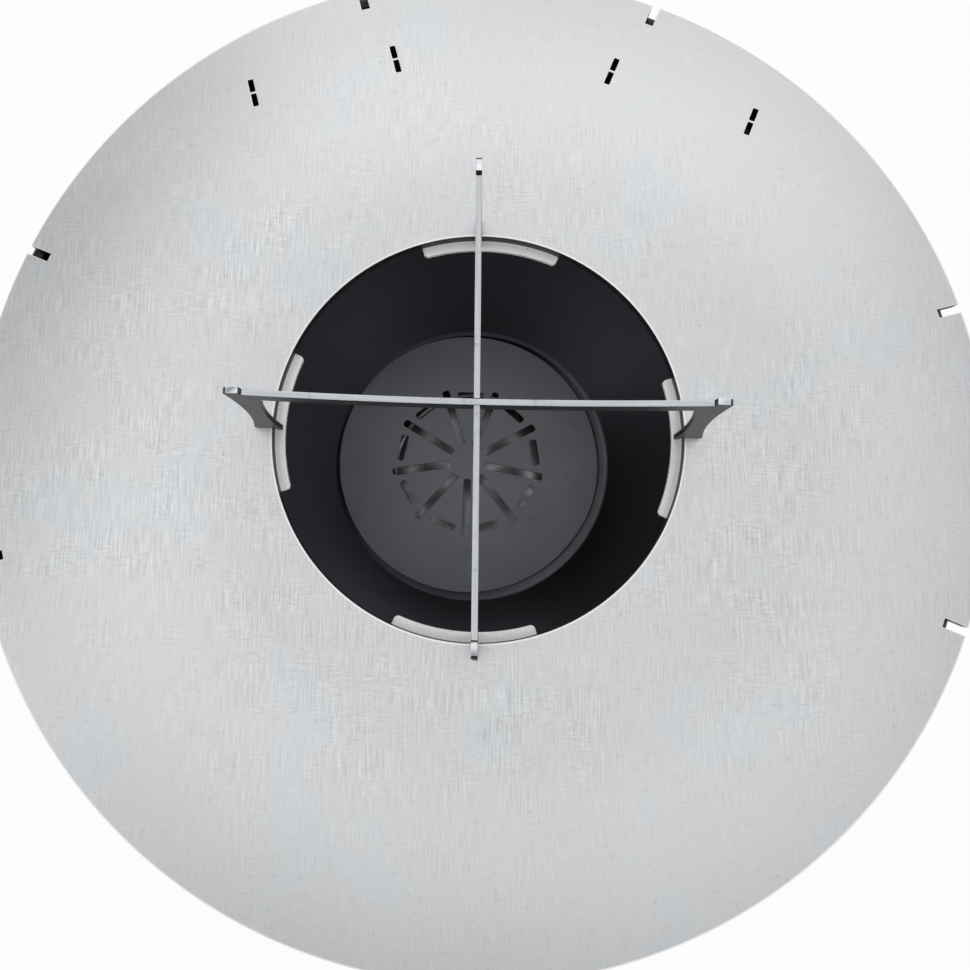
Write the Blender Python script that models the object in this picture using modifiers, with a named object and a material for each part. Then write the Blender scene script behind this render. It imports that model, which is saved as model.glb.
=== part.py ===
"""Fire pit grill: a griddle plate with a pot cross over a black bowl on three legs.

Metres, +Z up. The origin is on the ground below the middle of the whole object, and +Y points to
the side of the plate that has the slots. Run it with Blender 4.5, or from its text editor.
"""

import math

import bmesh
import bpy
from mathutils import Matrix, Vector

# Griddle plate
PLATE_RADIUS = 0.400
PLATE_THICKNESS = 0.010
OPENING_RADIUS = 0.1627
PLATE_EDGE = 0.0006
NOTCH_DEPTH = 0.0184
NOTCH_WIDTH = 0.0070
NOTCH_ANGLE = 18.55
SLOT_WIDTH = 0.0047
SLOT_LENGTH = 0.0116
SLOT_SPACING = 0.0134
SLOT_CORNER = 0.0009
INNER_PAIR_INSET = 0.0704
INNER_PAIR_ANGLE = 16.2
OUTER_PAIR_INSET = 0.0517
OUTER_PAIR_ANGLE = 37.05

# Ledges welded under the plate, around the opening
LEDGE_THICKNESS = 0.004
LEDGE_REACH = 0.0075
LEDGE_BACK = 0.022
LEDGE_HALF_ANGLE = 20.3
LEDGE_CORNER = 0.0035

# Angle brackets that centre the plate in the bowl
LOCATOR_WIDTH = 0.040
LOCATOR_DROP = 0.018
LOCATOR_BACK = 0.025
LOCATOR_THICKNESS = 0.004
LOCATOR_CLEARANCE = 0.0015

# Pot cross
CROSS_THICKNESS = 0.004
TIP_INSET = 0.0037
CROSS_HEIGHT = 0.1292
STOP_WIDTH = 0.0104
STOP_RISE = 0.0048
STOP_CHAMFER = 0.0024
BEAM_SAG = 0.0132
BEAM_DEPTH = 0.0148
LAP_CLEARANCE = 0.0004
LEG_INSIDE_ARC = 0.430
LEG_OUTSIDE_ARC = 0.400
LEG_OUTSIDE_START = 0.011
FOOT_CORNER = 0.003
LUG_CLEARANCE = 0.002
LUG_PLAY = 0.0022
LUG_WIDTH = 0.0044
UPPER_HALF_TURN = 2.5
LOWER_HALF_TURN = 3.4
CROSS_SHIFT = (-0.0001, 0.0013)

# Bowl
BOWL_DEPTH = 0.200
BOWL_SHEET = 0.003
FLOOR_HEIGHT = 0.224
FLOOR_RADIUS = 0.1423
FLOOR_SHELF = 0.022
FLOOR_CURVE = 0.012
COLLAR_HEIGHT = 0.045
SHOULDER_CURVE = 0.060
RIM_CURL = 0.005
CURL_SWEEP = 215
BOWL_SHIFT = (-0.0065, 0.0019)

# Fire grate
GRATE_PLAY = 0.0063
GRATE_THICKNESS = 0.003
GRATE_SHIFT = (-0.0045, 0.0003)
GRATE_TURN = 1.8
SPOKE_COUNT = 9
SPOKE_START = 0.0185
SPOKE_END = 0.0802
GRATE_SLOT_WIDTH = 0.0076
GRATE_SLOT_CORNER = 0.0027
CROSSWISE_RADIUS = 0.0710
CROSSWISE_LENGTH = 0.0278

# Ash pan
PAN_SHEET = 0.002
PAN_DEPTH = 0.083
PAN_FLANGE = 0.012
PAN_TAPER = 0.022
PAN_CURVE = 0.010
PAN_PLAY = 0.0015

# Legs
LEG_COUNT = 3
LEG_FIRST_ANGLE = -90
LEG_WIDTH = 0.060
LEG_THICKNESS = 0.006
LEG_PAD_END = 0.029
LEG_PAD_RISE = 0.1813
LEG_BEND = 0.022
FOOT_RADIUS = 0.318
FOOT_LENGTH = 0.062
FOOT_BEND = 0.014

# Leg fasteners
BOLT_RADIUS = 0.004
BOLT_SPACING = 0.040
HEAD_RADIUS = 0.010
HEAD_HEIGHT = 0.0048
WASHER_RADIUS = 0.0095
WASHER_THICKNESS = 0.0016
NUT_SIDES = 6
NUT_RADIUS = 0.0075
NUT_HEIGHT = 0.0065
BOLT_END = 0.003
HOLE_CLEARANCE = 0.0003

# Gap left between pieces that touch, and the wider one below a flat bolt head on the curved wall
GAP = 0.0003
HEAD_GAP = 0.0005

# Facets
RIM_SEGMENTS = 144
OPENING_SEGMENTS = 96
BOWL_SEGMENTS = 66
GRATE_SEGMENTS = 72
PAN_SEGMENTS = 42
SMALL_SEGMENTS = 12

# Sizes and places that follow from the ones above
PLATE_UNDERSIDE = FLOOR_HEIGHT + BOWL_DEPTH + GAP
PLATE_TOP = PLATE_UNDERSIDE + PLATE_THICKNESS
BOWL_CENTRE = Vector((BOWL_SHIFT[0] / 2, BOWL_SHIFT[1] / 2, 0))
PLATE_CENTRE = -BOWL_CENTRE
CROSS_CENTRE = PLATE_CENTRE + Vector((CROSS_SHIFT[0], CROSS_SHIFT[1], 0))
BOWL_RIM_RADIUS = PLATE_RADIUS
COLLAR_RADIUS = BOWL_RIM_RADIUS - BOWL_SHEET / 2 - RIM_CURL * 2
RIM_TOP = FLOOR_HEIGHT + BOWL_DEPTH
FLOOR_MIDDLE = FLOOR_HEIGHT - BOWL_SHEET / 2
PAN_MOUTH_RADIUS = FLOOR_RADIUS - FLOOR_SHELF
PAN_FLANGE_BASE = FLOOR_HEIGHT + GAP
GRATE_RADIUS = FLOOR_RADIUS - GRATE_PLAY
GRATE_BASE = PAN_FLANGE_BASE + PAN_SHEET + GAP
CROSS_REACH = OPENING_RADIUS - TIP_INSET
LUG_DROP = PLATE_THICKNESS - LUG_CLEARANCE
LAP_HALF = CROSS_THICKNESS / 2 + LAP_CLEARANCE
LOCATOR_PLAY = Vector(BOWL_SHIFT).length + LOCATOR_CLEARANCE
LEG_PAD_LENGTH = BOLT_SPACING + LEG_PAD_END * 2

COLOURS = {
    "brushed_plate": ((0.60, 0.60, 0.60), 0.42, 1.0),
    "cut_steel": ((0.46, 0.47, 0.48), 0.38, 1.0),
    "black_enamel": ((0.012, 0.012, 0.013), 0.45, 0.0),
    "black_coat": ((0.020, 0.020, 0.021), 0.50, 0.0),
    "grate_coat": ((0.050, 0.050, 0.052), 0.42, 0.2),
    "zinc": ((0.62, 0.62, 0.60), 0.35, 1.0),
}


def clear_scene():
    for obj in list(bpy.data.objects):
        bpy.data.objects.remove(obj, do_unlink=True)


def new_collection(name):
    collection = bpy.data.collections.new(name)
    bpy.context.scene.collection.children.link(collection)
    return collection


def material(name):
    colour, roughness, metallic = COLOURS[name]
    mat = bpy.data.materials.get(name) or bpy.data.materials.new(name)
    mat.use_nodes = True
    shader = mat.node_tree.nodes["Principled BSDF"]
    shader.inputs["Base Color"].default_value = (*colour, 1)
    shader.inputs["Roughness"].default_value = roughness
    shader.inputs["Metallic"].default_value = metallic
    return mat


def polar(radius, degrees):
    angle = math.radians(degrees)
    return Vector((radius * math.cos(angle), radius * math.sin(angle)))


def arc(centre, radius, start, end, steps):
    """Points on an arc from one angle to another, both ends included."""
    turn = (end - start) / steps
    return [Vector(centre) + polar(radius, start + turn * i) for i in range(steps + 1)]


def spread(start, end, steps):
    return [start + (end - start) * i / steps for i in range(steps + 1)]


def circle(radius, segments, centre=(0, 0), start=0):
    return arc(centre, radius, start, start + 360, segments)[:-1]


def fillet(before, corner, after, radius, steps):
    """Points of the arc that rounds a corner of a path."""
    if radius == 0:
        return [corner]
    way_in = (before - corner).normalized()
    way_out = (after - corner).normalized()
    half = way_in.angle(way_out) / 2
    middle = corner + (way_in + way_out).normalized() * radius / math.sin(half)
    first = corner + way_in * radius / math.tan(half)
    last = corner + way_out * radius / math.tan(half)
    start = first - middle
    turn = start.angle_signed(last - middle)
    return [middle + Matrix.Rotation(-turn * i / steps, 2) @ start for i in range(steps + 1)]


def rounded(points, radii, steps=5, closed=False):
    """A path with its corners rounded; an open path keeps its two ends."""
    points = [Vector(point) for point in points]
    count = len(points)
    result = []
    for i, point in enumerate(points):
        if not closed and i in (0, count - 1):
            result.append(point)
            continue
        result += fillet(points[i - 1], point, points[(i + 1) % count], radii[i], steps)
    return result


def side_of(path, distance):
    """The path moved sideways to its left, with mitred corners."""
    lefts = []
    for start, end in zip(path, path[1:]):
        along = (end - start).normalized()
        lefts.append(Vector((-along.y, along.x)))
    moved = []
    for i, point in enumerate(path):
        before = lefts[max(i - 1, 0)]
        after = lefts[min(i, len(lefts) - 1)]
        across = (before + after).normalized()
        moved.append(point + across * distance / across.dot(before))
    return moved


def sheet_outline(path, thickness):
    """Both faces of a sheet that follows a path: its left face, then its right face back again."""
    return side_of(path, thickness / 2) + side_of(path, -thickness / 2)[::-1]


def place(obj, name, colour, collection, location=(0, 0, 0), rotation=(0, 0, 0)):
    obj.name = name
    obj.data.name = name
    obj.location = location
    obj.rotation_euler = rotation
    if not obj.data.materials:
        obj.data.materials.append(material(colour))
    if obj.name not in collection.objects:
        collection.objects.link(obj)
    return obj


def smooth(mesh, degrees=35):
    mesh.shade_smooth()
    mesh.set_sharp_from_angle(angle=math.radians(degrees))


def flat_mesh(name, outlines, thickness):
    """A flat plate cut to its outlines: the first is the rim, and any more are holes."""
    curve = bpy.data.curves.new(name, "CURVE")
    curve.dimensions = "2D"
    curve.fill_mode = "BOTH"
    curve.extrude = thickness / 2
    for outline in outlines:
        spline = curve.splines.new("POLY")
        spline.points.add(len(outline) - 1)
        for target, point in zip(spline.points, outline):
            target.co = (point.x, point.y, 0, 1)
        spline.use_cyclic_u = True
    holder = bpy.data.objects.new(name + "_outline", curve)
    bpy.context.scene.collection.objects.link(holder)
    bpy.context.view_layer.update()
    evaluated = holder.evaluated_get(bpy.context.evaluated_depsgraph_get())
    mesh = bpy.data.meshes.new_from_object(evaluated)
    bpy.data.objects.remove(holder, do_unlink=True)
    bpy.data.curves.remove(curve)
    weld(mesh)
    return mesh


def weld(mesh):
    shape = bmesh.new()
    shape.from_mesh(mesh)
    bmesh.ops.remove_doubles(shape, verts=shape.verts, dist=0.00001)
    bmesh.ops.dissolve_limit(shape, angle_limit=math.radians(0.5), verts=shape.verts, edges=shape.edges)
    bmesh.ops.recalc_face_normals(shape, faces=shape.faces)
    shape.to_mesh(mesh)
    shape.free()


def ease_edges(obj, width):
    """A small bevel on every sharp edge."""
    bevel = obj.modifiers.new("eased edges", "BEVEL")
    bevel.width = width
    bevel.segments = 1
    bevel.limit_method = "ANGLE"
    bevel.angle_limit = math.radians(40)


def turned_mesh(name, outline, closed):
    """The half section of a turned piece, as a line of edges in the XZ plane."""
    mesh = bpy.data.meshes.new(name)
    edges = [(i, i + 1) for i in range(len(outline) - 1)]
    if closed:
        edges.append((len(outline) - 1, 0))
    mesh.from_pydata([(point.x, 0, point.y) for point in outline], edges, [])
    return mesh


def turn(obj, segments):
    screw = obj.modifiers.new("turned", "SCREW")
    screw.axis = "Z"
    screw.steps = segments
    screw.render_steps = segments
    screw.use_merge_vertices = True
    screw.merge_threshold = 0.00001
    screw.use_smooth_shade = True


def cut(obj, cutter):
    boolean = obj.modifiers.new("cut by " + cutter.name, "BOOLEAN")
    boolean.operation = "DIFFERENCE"
    boolean.solver = "EXACT"
    boolean.object = cutter


# Griddle plate


def notch_angles():
    """Where the six notches stand: a pair about the right side, the far side and the left side."""
    angles = []
    for side in (0, 90, 180):
        angles += [side - NOTCH_ANGLE, side + NOTCH_ANGLE]
    return sorted(angle % 360 for angle in angles)


def rim_outline():
    """The plate's rim with its square cornered notches."""
    half_gap = math.degrees(math.asin(NOTCH_WIDTH / 2 / PLATE_RADIUS))
    depth = math.sqrt(PLATE_RADIUS ** 2 - (NOTCH_WIDTH / 2) ** 2) - NOTCH_DEPTH
    notches = notch_angles()
    points = []
    for i, angle in enumerate(notches):
        following = notches[i + 1] if i + 1 < len(notches) else notches[0] + 360
        turn_by = Matrix.Rotation(math.radians(angle), 2)
        points += [turn_by @ Vector((depth, side)) for side in (-NOTCH_WIDTH / 2, NOTCH_WIDTH / 2)]
        start = angle + half_gap
        end = following - half_gap
        steps = max(2, round((end - start) / 360 * RIM_SEGMENTS))
        points += arc((0, 0), PLATE_RADIUS, start, end, steps)
    return points


def slot_outline(length, width, corner, centre, degrees):
    """A slot with rounded corners, lying along a direction."""
    x = length / 2
    y = width / 2
    box = [(-x, -y), (x, -y), (x, y), (-x, y)]
    turn_by = Matrix.Rotation(math.radians(degrees), 2)
    return [centre + turn_by @ point for point in rounded(box, [corner] * 4, 2, closed=True)]


def plate_slots():
    """Four pairs of slots at the far side, each pair in line with the notch on its own side."""
    slots = []
    for side in (-1, 1):
        lean = 90 - side * NOTCH_ANGLE
        for inset, angle in ((INNER_PAIR_INSET, INNER_PAIR_ANGLE), (OUTER_PAIR_INSET, OUTER_PAIR_ANGLE)):
            middle = polar(PLATE_RADIUS - inset, 90 - side * angle)
            for step in (-SLOT_SPACING / 2, SLOT_SPACING / 2):
                centre = middle + polar(step, lean)
                slots.append(slot_outline(SLOT_LENGTH, SLOT_WIDTH, SLOT_CORNER, centre, lean))
    return slots


def make_plate(parts):
    outlines = [rim_outline(), circle(OPENING_RADIUS, OPENING_SEGMENTS)] + plate_slots()
    mesh = flat_mesh("griddle_plate", outlines, PLATE_THICKNESS)
    smooth(mesh)
    plate = bpy.data.objects.new("griddle_plate", mesh)
    height = PLATE_TOP - PLATE_THICKNESS / 2
    place(plate, "griddle_plate", "brushed_plate", parts, PLATE_CENTRE + Vector((0, 0, height)))
    ease_edges(plate, PLATE_EDGE)


def ledge_outline():
    """An arc plate whose two inner corners are rounded."""
    steps = 12
    inner = arc((0, 0), OPENING_RADIUS - LEDGE_REACH, LEDGE_HALF_ANGLE, -LEDGE_HALF_ANGLE, steps)
    outer = arc((0, 0), OPENING_RADIUS + LEDGE_BACK, -LEDGE_HALF_ANGLE, LEDGE_HALF_ANGLE, steps)
    corners = [LEDGE_CORNER] + [0] * (steps - 1) + [LEDGE_CORNER] + [0] * (steps + 1)
    return rounded(inner + outer, corners, 3, closed=True)


def make_ledges(parts):
    mesh = flat_mesh("ledge", [ledge_outline()], LEDGE_THICKNESS)
    smooth(mesh)
    height = PLATE_UNDERSIDE - GAP - LEDGE_THICKNESS / 2
    for name, angle in (("east", 0), ("north", 90), ("west", 180), ("south", 270)):
        ledge = bpy.data.objects.new(name + "_ledge", mesh)
        location = PLATE_CENTRE + Vector((0, 0, height))
        place(ledge, name + "_ledge", "brushed_plate", parts, location, (0, 0, math.radians(angle)))


def make_locators(parts):
    """Angle brackets: one leg lies against the plate, the other hangs just inside the bowl's rim."""
    outer = COLLAR_RADIUS - BOWL_SHEET / 2 - LOCATOR_PLAY
    upright = outer - LOCATOR_THICKNESS / 2
    top = -LOCATOR_THICKNESS / 2
    corners = [(upright, -LOCATOR_DROP), (upright, top), (outer - LOCATOR_BACK, top)]
    path = rounded(corners, [0, LOCATOR_THICKNESS, 0], 4)
    mesh = flat_mesh("locator", [sheet_outline(path, LOCATOR_THICKNESS)], LOCATOR_WIDTH)
    smooth(mesh)
    for i in range(4):
        locator = bpy.data.objects.new(f"locator_{i + 1}", mesh)
        location = PLATE_CENTRE + Vector((0, 0, PLATE_UNDERSIDE - GAP))
        rotation = (math.radians(90), 0, math.radians(45 + 90 * i))
        place(locator, f"locator_{i + 1}", "brushed_plate", parts, location, rotation)


# Pot cross


def beam_curve():
    """Radius of the hollow along the top of the cross, from its span and its sag."""
    span = CROSS_REACH - STOP_WIDTH
    return (span ** 2 + BEAM_SAG ** 2) / (2 * BEAM_SAG)


def beam_height(distance):
    """Height of the top of the beam above the plate, at a distance from its middle."""
    curve = beam_curve()
    middle = CROSS_HEIGHT - STOP_RISE - BEAM_SAG
    return middle + curve - math.sqrt(curve ** 2 - distance ** 2)


def leg_inside(height):
    """Distance of the leg's inner edge from the middle of the cross."""
    foot = OPENING_RADIUS - LUG_PLAY - LUG_WIDTH
    return foot - LEG_INSIDE_ARC + math.sqrt(LEG_INSIDE_ARC ** 2 - (height + LUG_DROP) ** 2)


def leg_outside(height):
    """Distance of the leg's outer edge, which flares out towards its foot."""
    below = max(CROSS_HEIGHT - LEG_OUTSIDE_START - height, 0)
    return CROSS_REACH + LEG_OUTSIDE_ARC - math.sqrt(LEG_OUTSIDE_ARC ** 2 - below ** 2)


def arch_corner():
    """Where the beam's underside meets the leg's inner edge."""
    distance = leg_inside(0)
    for _ in range(20):
        distance = leg_inside(beam_height(distance) - BEAM_DEPTH)
    return Vector((distance, beam_height(distance) - BEAM_DEPTH))


def half_profile():
    """Right half of a cross plate, from the top of the beam round the leg to the beam's underside."""
    stop_start = CROSS_REACH - STOP_WIDTH
    beam_top = [Vector((x, beam_height(x))) for x in spread(LAP_HALF, stop_start, 8)]
    corner = arch_corner()
    lug_outside = OPENING_RADIUS - LUG_PLAY
    foot_end = leg_outside(0)
    points = beam_top + [
        Vector((stop_start, CROSS_HEIGHT)),
        Vector((CROSS_REACH - STOP_CHAMFER, CROSS_HEIGHT)),
        Vector((CROSS_REACH, CROSS_HEIGHT - STOP_CHAMFER)),
    ]
    points += [Vector((leg_outside(z), z)) for z in spread(CROSS_HEIGHT - LEG_OUTSIDE_START, FOOT_CORNER, 8)]
    points += [
        Vector((foot_end - FOOT_CORNER, 0)),
        Vector((lug_outside, 0)),
        Vector((lug_outside, -LUG_DROP)),
    ]
    points += [Vector((leg_inside(z), z)) for z in spread(-LUG_DROP, corner.y, 8)]
    points += [Vector((x, beam_height(x) - BEAM_DEPTH)) for x in spread(corner.x, LAP_HALF, 8)[1:]]
    return points


def cross_outline(slot_from_below):
    """The whole plate, with a slot of half the beam's depth at its middle."""
    right = half_profile()
    left = [Vector((-point.x, point.y)) for point in reversed(right)]
    middle = beam_height(LAP_HALF) - BEAM_DEPTH / 2
    if slot_from_below:
        middle += LAP_CLEARANCE / 2
        return right + [Vector((LAP_HALF, middle)), Vector((-LAP_HALF, middle))] + left
    middle -= LAP_CLEARANCE / 2
    return right + left + [Vector((-LAP_HALF, middle)), Vector((LAP_HALF, middle))]


def make_cross(parts):
    halves = (("cross_upper_half", True, UPPER_HALF_TURN), ("cross_lower_half", False, 90 + LOWER_HALF_TURN))
    for name, slot_from_below, angle in halves:
        mesh = flat_mesh(name, [cross_outline(slot_from_below)], CROSS_THICKNESS)
        smooth(mesh)
        half = bpy.data.objects.new(name, mesh)
        rotation = (math.radians(90), 0, math.radians(angle))
        place(half, name, "cut_steel", parts, CROSS_CENTRE + Vector((0, 0, PLATE_TOP + GAP)), rotation)


# Bowl, grate and ash pan


def bowl_path():
    """Middle line of the bowl's sheet, from its mouth for the ash pan up to the curled rim."""
    curl_height = RIM_TOP - BOWL_SHEET / 2 - RIM_CURL
    corners = [
        (PAN_MOUTH_RADIUS, FLOOR_MIDDLE),
        (FLOOR_RADIUS, FLOOR_MIDDLE),
        (COLLAR_RADIUS, RIM_TOP - COLLAR_HEIGHT),
        (COLLAR_RADIUS, curl_height),
    ]
    path = rounded(corners, [0, FLOOR_CURVE, SHOULDER_CURVE, 0], 4)
    return path + arc((COLLAR_RADIUS + RIM_CURL, curl_height), RIM_CURL, 180, 180 - CURL_SWEEP, 7)[1:]


def wall_frame():
    """The straight wall: the middle of the leg's pad on it, the way up it and the way out of it."""
    low = Vector((FLOOR_RADIUS, FLOOR_MIDDLE))
    high = Vector((COLLAR_RADIUS, RIM_TOP - COLLAR_HEIGHT))
    along = (high - low).normalized()
    return low + along * LEG_PAD_RISE, along, Vector((along.y, -along.x))


def make_bowl(parts, hole_cutter):
    outline = sheet_outline(bowl_path(), BOWL_SHEET)
    bowl = bpy.data.objects.new("fire_bowl", turned_mesh("fire_bowl", outline, True))
    place(bowl, "fire_bowl", "black_enamel", parts, BOWL_CENTRE)
    turn(bowl, BOWL_SEGMENTS)
    cut(bowl, hole_cutter)


def make_pan(parts):
    """A dished pan that hangs in the bowl's mouth by its flange."""
    side = PAN_MOUTH_RADIUS - PAN_PLAY - PAN_SHEET / 2
    middle = PAN_SHEET / 2
    flange_end = PAN_MOUTH_RADIUS + PAN_FLANGE
    corners = [(0, -PAN_DEPTH), (side - PAN_TAPER, -PAN_DEPTH), (side, middle), (flange_end, middle)]
    path = rounded(corners, [0, PAN_CURVE, PAN_SHEET * 2, 0], 3)
    outline = sheet_outline(path, PAN_SHEET)
    outline[0].x = 0
    outline[-1].x = 0
    pan = bpy.data.objects.new("ash_pan", turned_mesh("ash_pan", outline, False))
    place(pan, "ash_pan", "black_coat", parts, BOWL_CENTRE + Vector((0, 0, PAN_FLANGE_BASE)))
    turn(pan, PAN_SEGMENTS)


def make_grate(parts):
    """A disc with spoke slots and a ring of crosswise slots between their ends."""
    outlines = [circle(GRATE_RADIUS, GRATE_SEGMENTS)]
    section = (GRATE_SLOT_WIDTH, GRATE_SLOT_CORNER)
    step = 360 / SPOKE_COUNT
    for i in range(SPOKE_COUNT):
        spoke = -90 + GRATE_TURN + step * i
        middle = polar((SPOKE_START + SPOKE_END) / 2, spoke)
        outlines.append(slot_outline(SPOKE_END - SPOKE_START, *section, middle, spoke))
        between = spoke + step / 2
        middle = polar(CROSSWISE_RADIUS, between)
        outlines.append(slot_outline(CROSSWISE_LENGTH, *section, middle, between + 90))
    mesh = flat_mesh("fire_grate", outlines, GRATE_THICKNESS)
    smooth(mesh)
    grate = bpy.data.objects.new("fire_grate", mesh)
    shift = Vector((GRATE_SHIFT[0], GRATE_SHIFT[1], GRATE_BASE + GRATE_THICKNESS / 2))
    place(grate, "fire_grate", "grate_coat", parts, BOWL_CENTRE + shift)


# Legs and their fasteners


def leg_angles():
    return [LEG_FIRST_ANGLE + 360 / LEG_COUNT * i for i in range(LEG_COUNT)]


def bolt_places():
    """Middle line points of the bowl's wall where the two bolts of a leg go through."""
    pad_middle, along, _ = wall_frame()
    return {"upper": pad_middle + along * BOLT_SPACING / 2, "lower": pad_middle - along * BOLT_SPACING / 2}


def wall_slope():
    along = wall_frame()[1]
    return math.atan2(along.y, along.x)


def make_hole_cutter(cutters):
    """One clearance rod for each bolt, across the wall and the leg's pad."""
    shape = bmesh.new()
    for angle in leg_angles():
        for place_on_wall in bolt_places().values():
            turn_by = Matrix.Rotation(math.radians(angle), 4, "Z")
            middle = turn_by @ Vector((place_on_wall.x, 0, place_on_wall.y))
            tilt = Matrix.Rotation(-wall_slope(), 4, "Y")
            matrix = Matrix.Translation(middle + BOWL_CENTRE) @ turn_by @ tilt
            bmesh.ops.create_cone(
                shape,
                cap_ends=True,
                segments=SMALL_SEGMENTS,
                radius1=BOLT_RADIUS + HOLE_CLEARANCE,
                radius2=BOLT_RADIUS + HOLE_CLEARANCE,
                depth=(LEG_THICKNESS + BOWL_SHEET) * 4,
                matrix=matrix,
            )
    mesh = bpy.data.meshes.new("bolt_holes")
    shape.to_mesh(mesh)
    shape.free()
    cutter = bpy.data.objects.new("bolt_holes", mesh)
    cutter.hide_render = True
    cutter.display_type = "WIRE"
    cutters.objects.link(cutter)
    return cutter


def leg_path():
    """Middle line of a leg: down the wall, out and down to the ground, then out along it."""
    pad_middle, along, outward = wall_frame()
    pad_offset = outward * (BOWL_SHEET / 2 + GAP + LEG_THICKNESS / 2)
    top = pad_middle + pad_offset + along * LEG_PAD_LENGTH / 2
    bend = pad_middle + pad_offset - along * LEG_PAD_LENGTH / 2
    foot = Vector((FOOT_RADIUS, LEG_THICKNESS / 2))
    toe = foot + Vector((FOOT_LENGTH, 0))
    return rounded([top, bend, foot, toe], [0, LEG_BEND, FOOT_BEND, 0], 6)


def make_legs(parts, hole_cutter):
    mesh = flat_mesh("leg", [sheet_outline(leg_path(), LEG_THICKNESS)], LEG_WIDTH)
    smooth(mesh)
    for i, angle in enumerate(leg_angles()):
        leg = bpy.data.objects.new(f"leg_{i + 1}", mesh)
        rotation = (math.radians(90), 0, math.radians(angle))
        place(leg, f"leg_{i + 1}", "black_coat", parts, BOWL_CENTRE, rotation)
        cut(leg, hole_cutter)


def bolt_outline():
    """Half section of a round headed bolt, its head's underside at zero height."""
    dome = (HEAD_RADIUS ** 2 + HEAD_HEIGHT ** 2) / (2 * HEAD_HEIGHT)
    edge = math.degrees(math.asin(HEAD_RADIUS / dome))
    head = arc((0, HEAD_HEIGHT - dome), dome, 90, 90 - edge, 4)
    head[0].x = 0
    grip = HEAD_GAP + BOWL_SHEET + GAP + LEG_THICKNESS + GAP + WASHER_THICKNESS + GAP + NUT_HEIGHT
    length = grip + BOLT_END
    shank = [Vector((BOLT_RADIUS, 0)), Vector((BOLT_RADIUS, -length)), Vector((0, -length))]
    return head + shank


def make_fasteners(parts):
    bore = circle(BOLT_RADIUS + HOLE_CLEARANCE, SMALL_SEGMENTS)
    washer_rim = circle(WASHER_RADIUS, SMALL_SEGMENTS)
    meshes = {
        "bolt": turned_mesh("leg_bolt", bolt_outline(), False),
        "washer": flat_mesh("leg_washer", [washer_rim, bore], WASHER_THICKNESS),
        "nut": flat_mesh("leg_nut", [circle(NUT_RADIUS, NUT_SIDES), bore], NUT_HEIGHT),
    }
    smooth(meshes["washer"])
    smooth(meshes["nut"])
    under_pad = -(BOWL_SHEET / 2 + GAP + LEG_THICKNESS + GAP)
    heights = {
        "bolt": BOWL_SHEET / 2 + HEAD_GAP,
        "washer": under_pad - WASHER_THICKNESS / 2,
        "nut": under_pad - WASHER_THICKNESS - GAP - NUT_HEIGHT / 2,
    }
    inward = -wall_frame()[2]
    for i, angle in enumerate(leg_angles()):
        turn_by = Matrix.Rotation(math.radians(angle), 3, "Z")
        for level, spot in bolt_places().items():
            for kind, mesh in meshes.items():
                centre = spot + inward * heights[kind]
                location = BOWL_CENTRE + turn_by @ Vector((centre.x, 0, centre.y))
                name = f"leg_{kind}_{i + 1}_{level}"
                fastener = bpy.data.objects.new(name, mesh)
                rotation = (0, -wall_slope(), math.radians(angle))
                place(fastener, name, "zinc", parts, location, rotation)
                if kind == "bolt":
                    turn(fastener, SMALL_SEGMENTS)


def main():
    clear_scene()
    parts = new_collection("fire pit grill")
    cutters = new_collection("cutters")
    hole_cutter = make_hole_cutter(cutters)
    make_plate(parts)
    make_ledges(parts)
    make_locators(parts)
    make_cross(parts)
    make_bowl(parts, hole_cutter)
    make_pan(parts)
    make_grate(parts)
    make_legs(parts, hole_cutter)
    make_fasteners(parts)


main()
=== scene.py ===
"""Dressed scene of a fire pit grill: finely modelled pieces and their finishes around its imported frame.

Metres and the frame's own axes: +Z up, the ground at zero, +Y towards the plate's slotted side.
"""

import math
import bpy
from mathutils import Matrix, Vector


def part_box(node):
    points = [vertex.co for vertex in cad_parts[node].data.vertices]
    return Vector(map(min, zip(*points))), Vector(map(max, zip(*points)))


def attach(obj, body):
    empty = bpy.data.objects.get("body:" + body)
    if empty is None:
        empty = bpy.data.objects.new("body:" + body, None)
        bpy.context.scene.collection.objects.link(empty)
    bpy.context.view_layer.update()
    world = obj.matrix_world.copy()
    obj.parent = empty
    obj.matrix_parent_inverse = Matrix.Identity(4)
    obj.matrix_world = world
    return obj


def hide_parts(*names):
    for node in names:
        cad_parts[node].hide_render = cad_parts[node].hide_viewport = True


bl_info = {
    "name": "Fire Pit Grill",
    "version": (1, 0, 0),
    "blender": (4, 5, 0),
    "location": "View3D > Sidebar > Fire Pit",
    "description": "Builds the dressed pieces of a fire pit grill and the stage around it",
    "category": "Object",
}

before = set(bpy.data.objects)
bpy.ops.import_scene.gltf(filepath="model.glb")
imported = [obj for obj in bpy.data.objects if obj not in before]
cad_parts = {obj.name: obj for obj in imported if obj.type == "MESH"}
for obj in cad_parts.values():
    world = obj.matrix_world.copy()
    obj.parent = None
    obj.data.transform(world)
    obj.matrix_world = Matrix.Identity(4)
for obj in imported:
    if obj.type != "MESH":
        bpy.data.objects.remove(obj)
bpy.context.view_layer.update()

import bmesh
import bpy
from bpy.props import FloatProperty, FloatVectorProperty, IntProperty, PointerProperty
from mathutils import Matrix, Vector

SIDES = ("east", "north", "west", "south")
RIGHT_ANGLE = math.radians(90)

# Points closer than this are joined
MERGE = 0.00001

# Edges sharper than these angles keep a crease, on spun pieces and on cut ones
SPUN_CREASE = math.radians(40)
CUT_CREASE = math.radians(50)

# Places of a cut plate's three materials
FACE = 0
WALL = 1
ARRIS = 2

# Sockets of a Mix node's factor, its two colours and its result
MIX_FACTOR = 0
MIX_FIRST = 6
MIX_SECOND = 7
MIX_RESULT = 2


def middle_of(node):
    low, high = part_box(node)
    return (low + high) / 2


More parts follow.
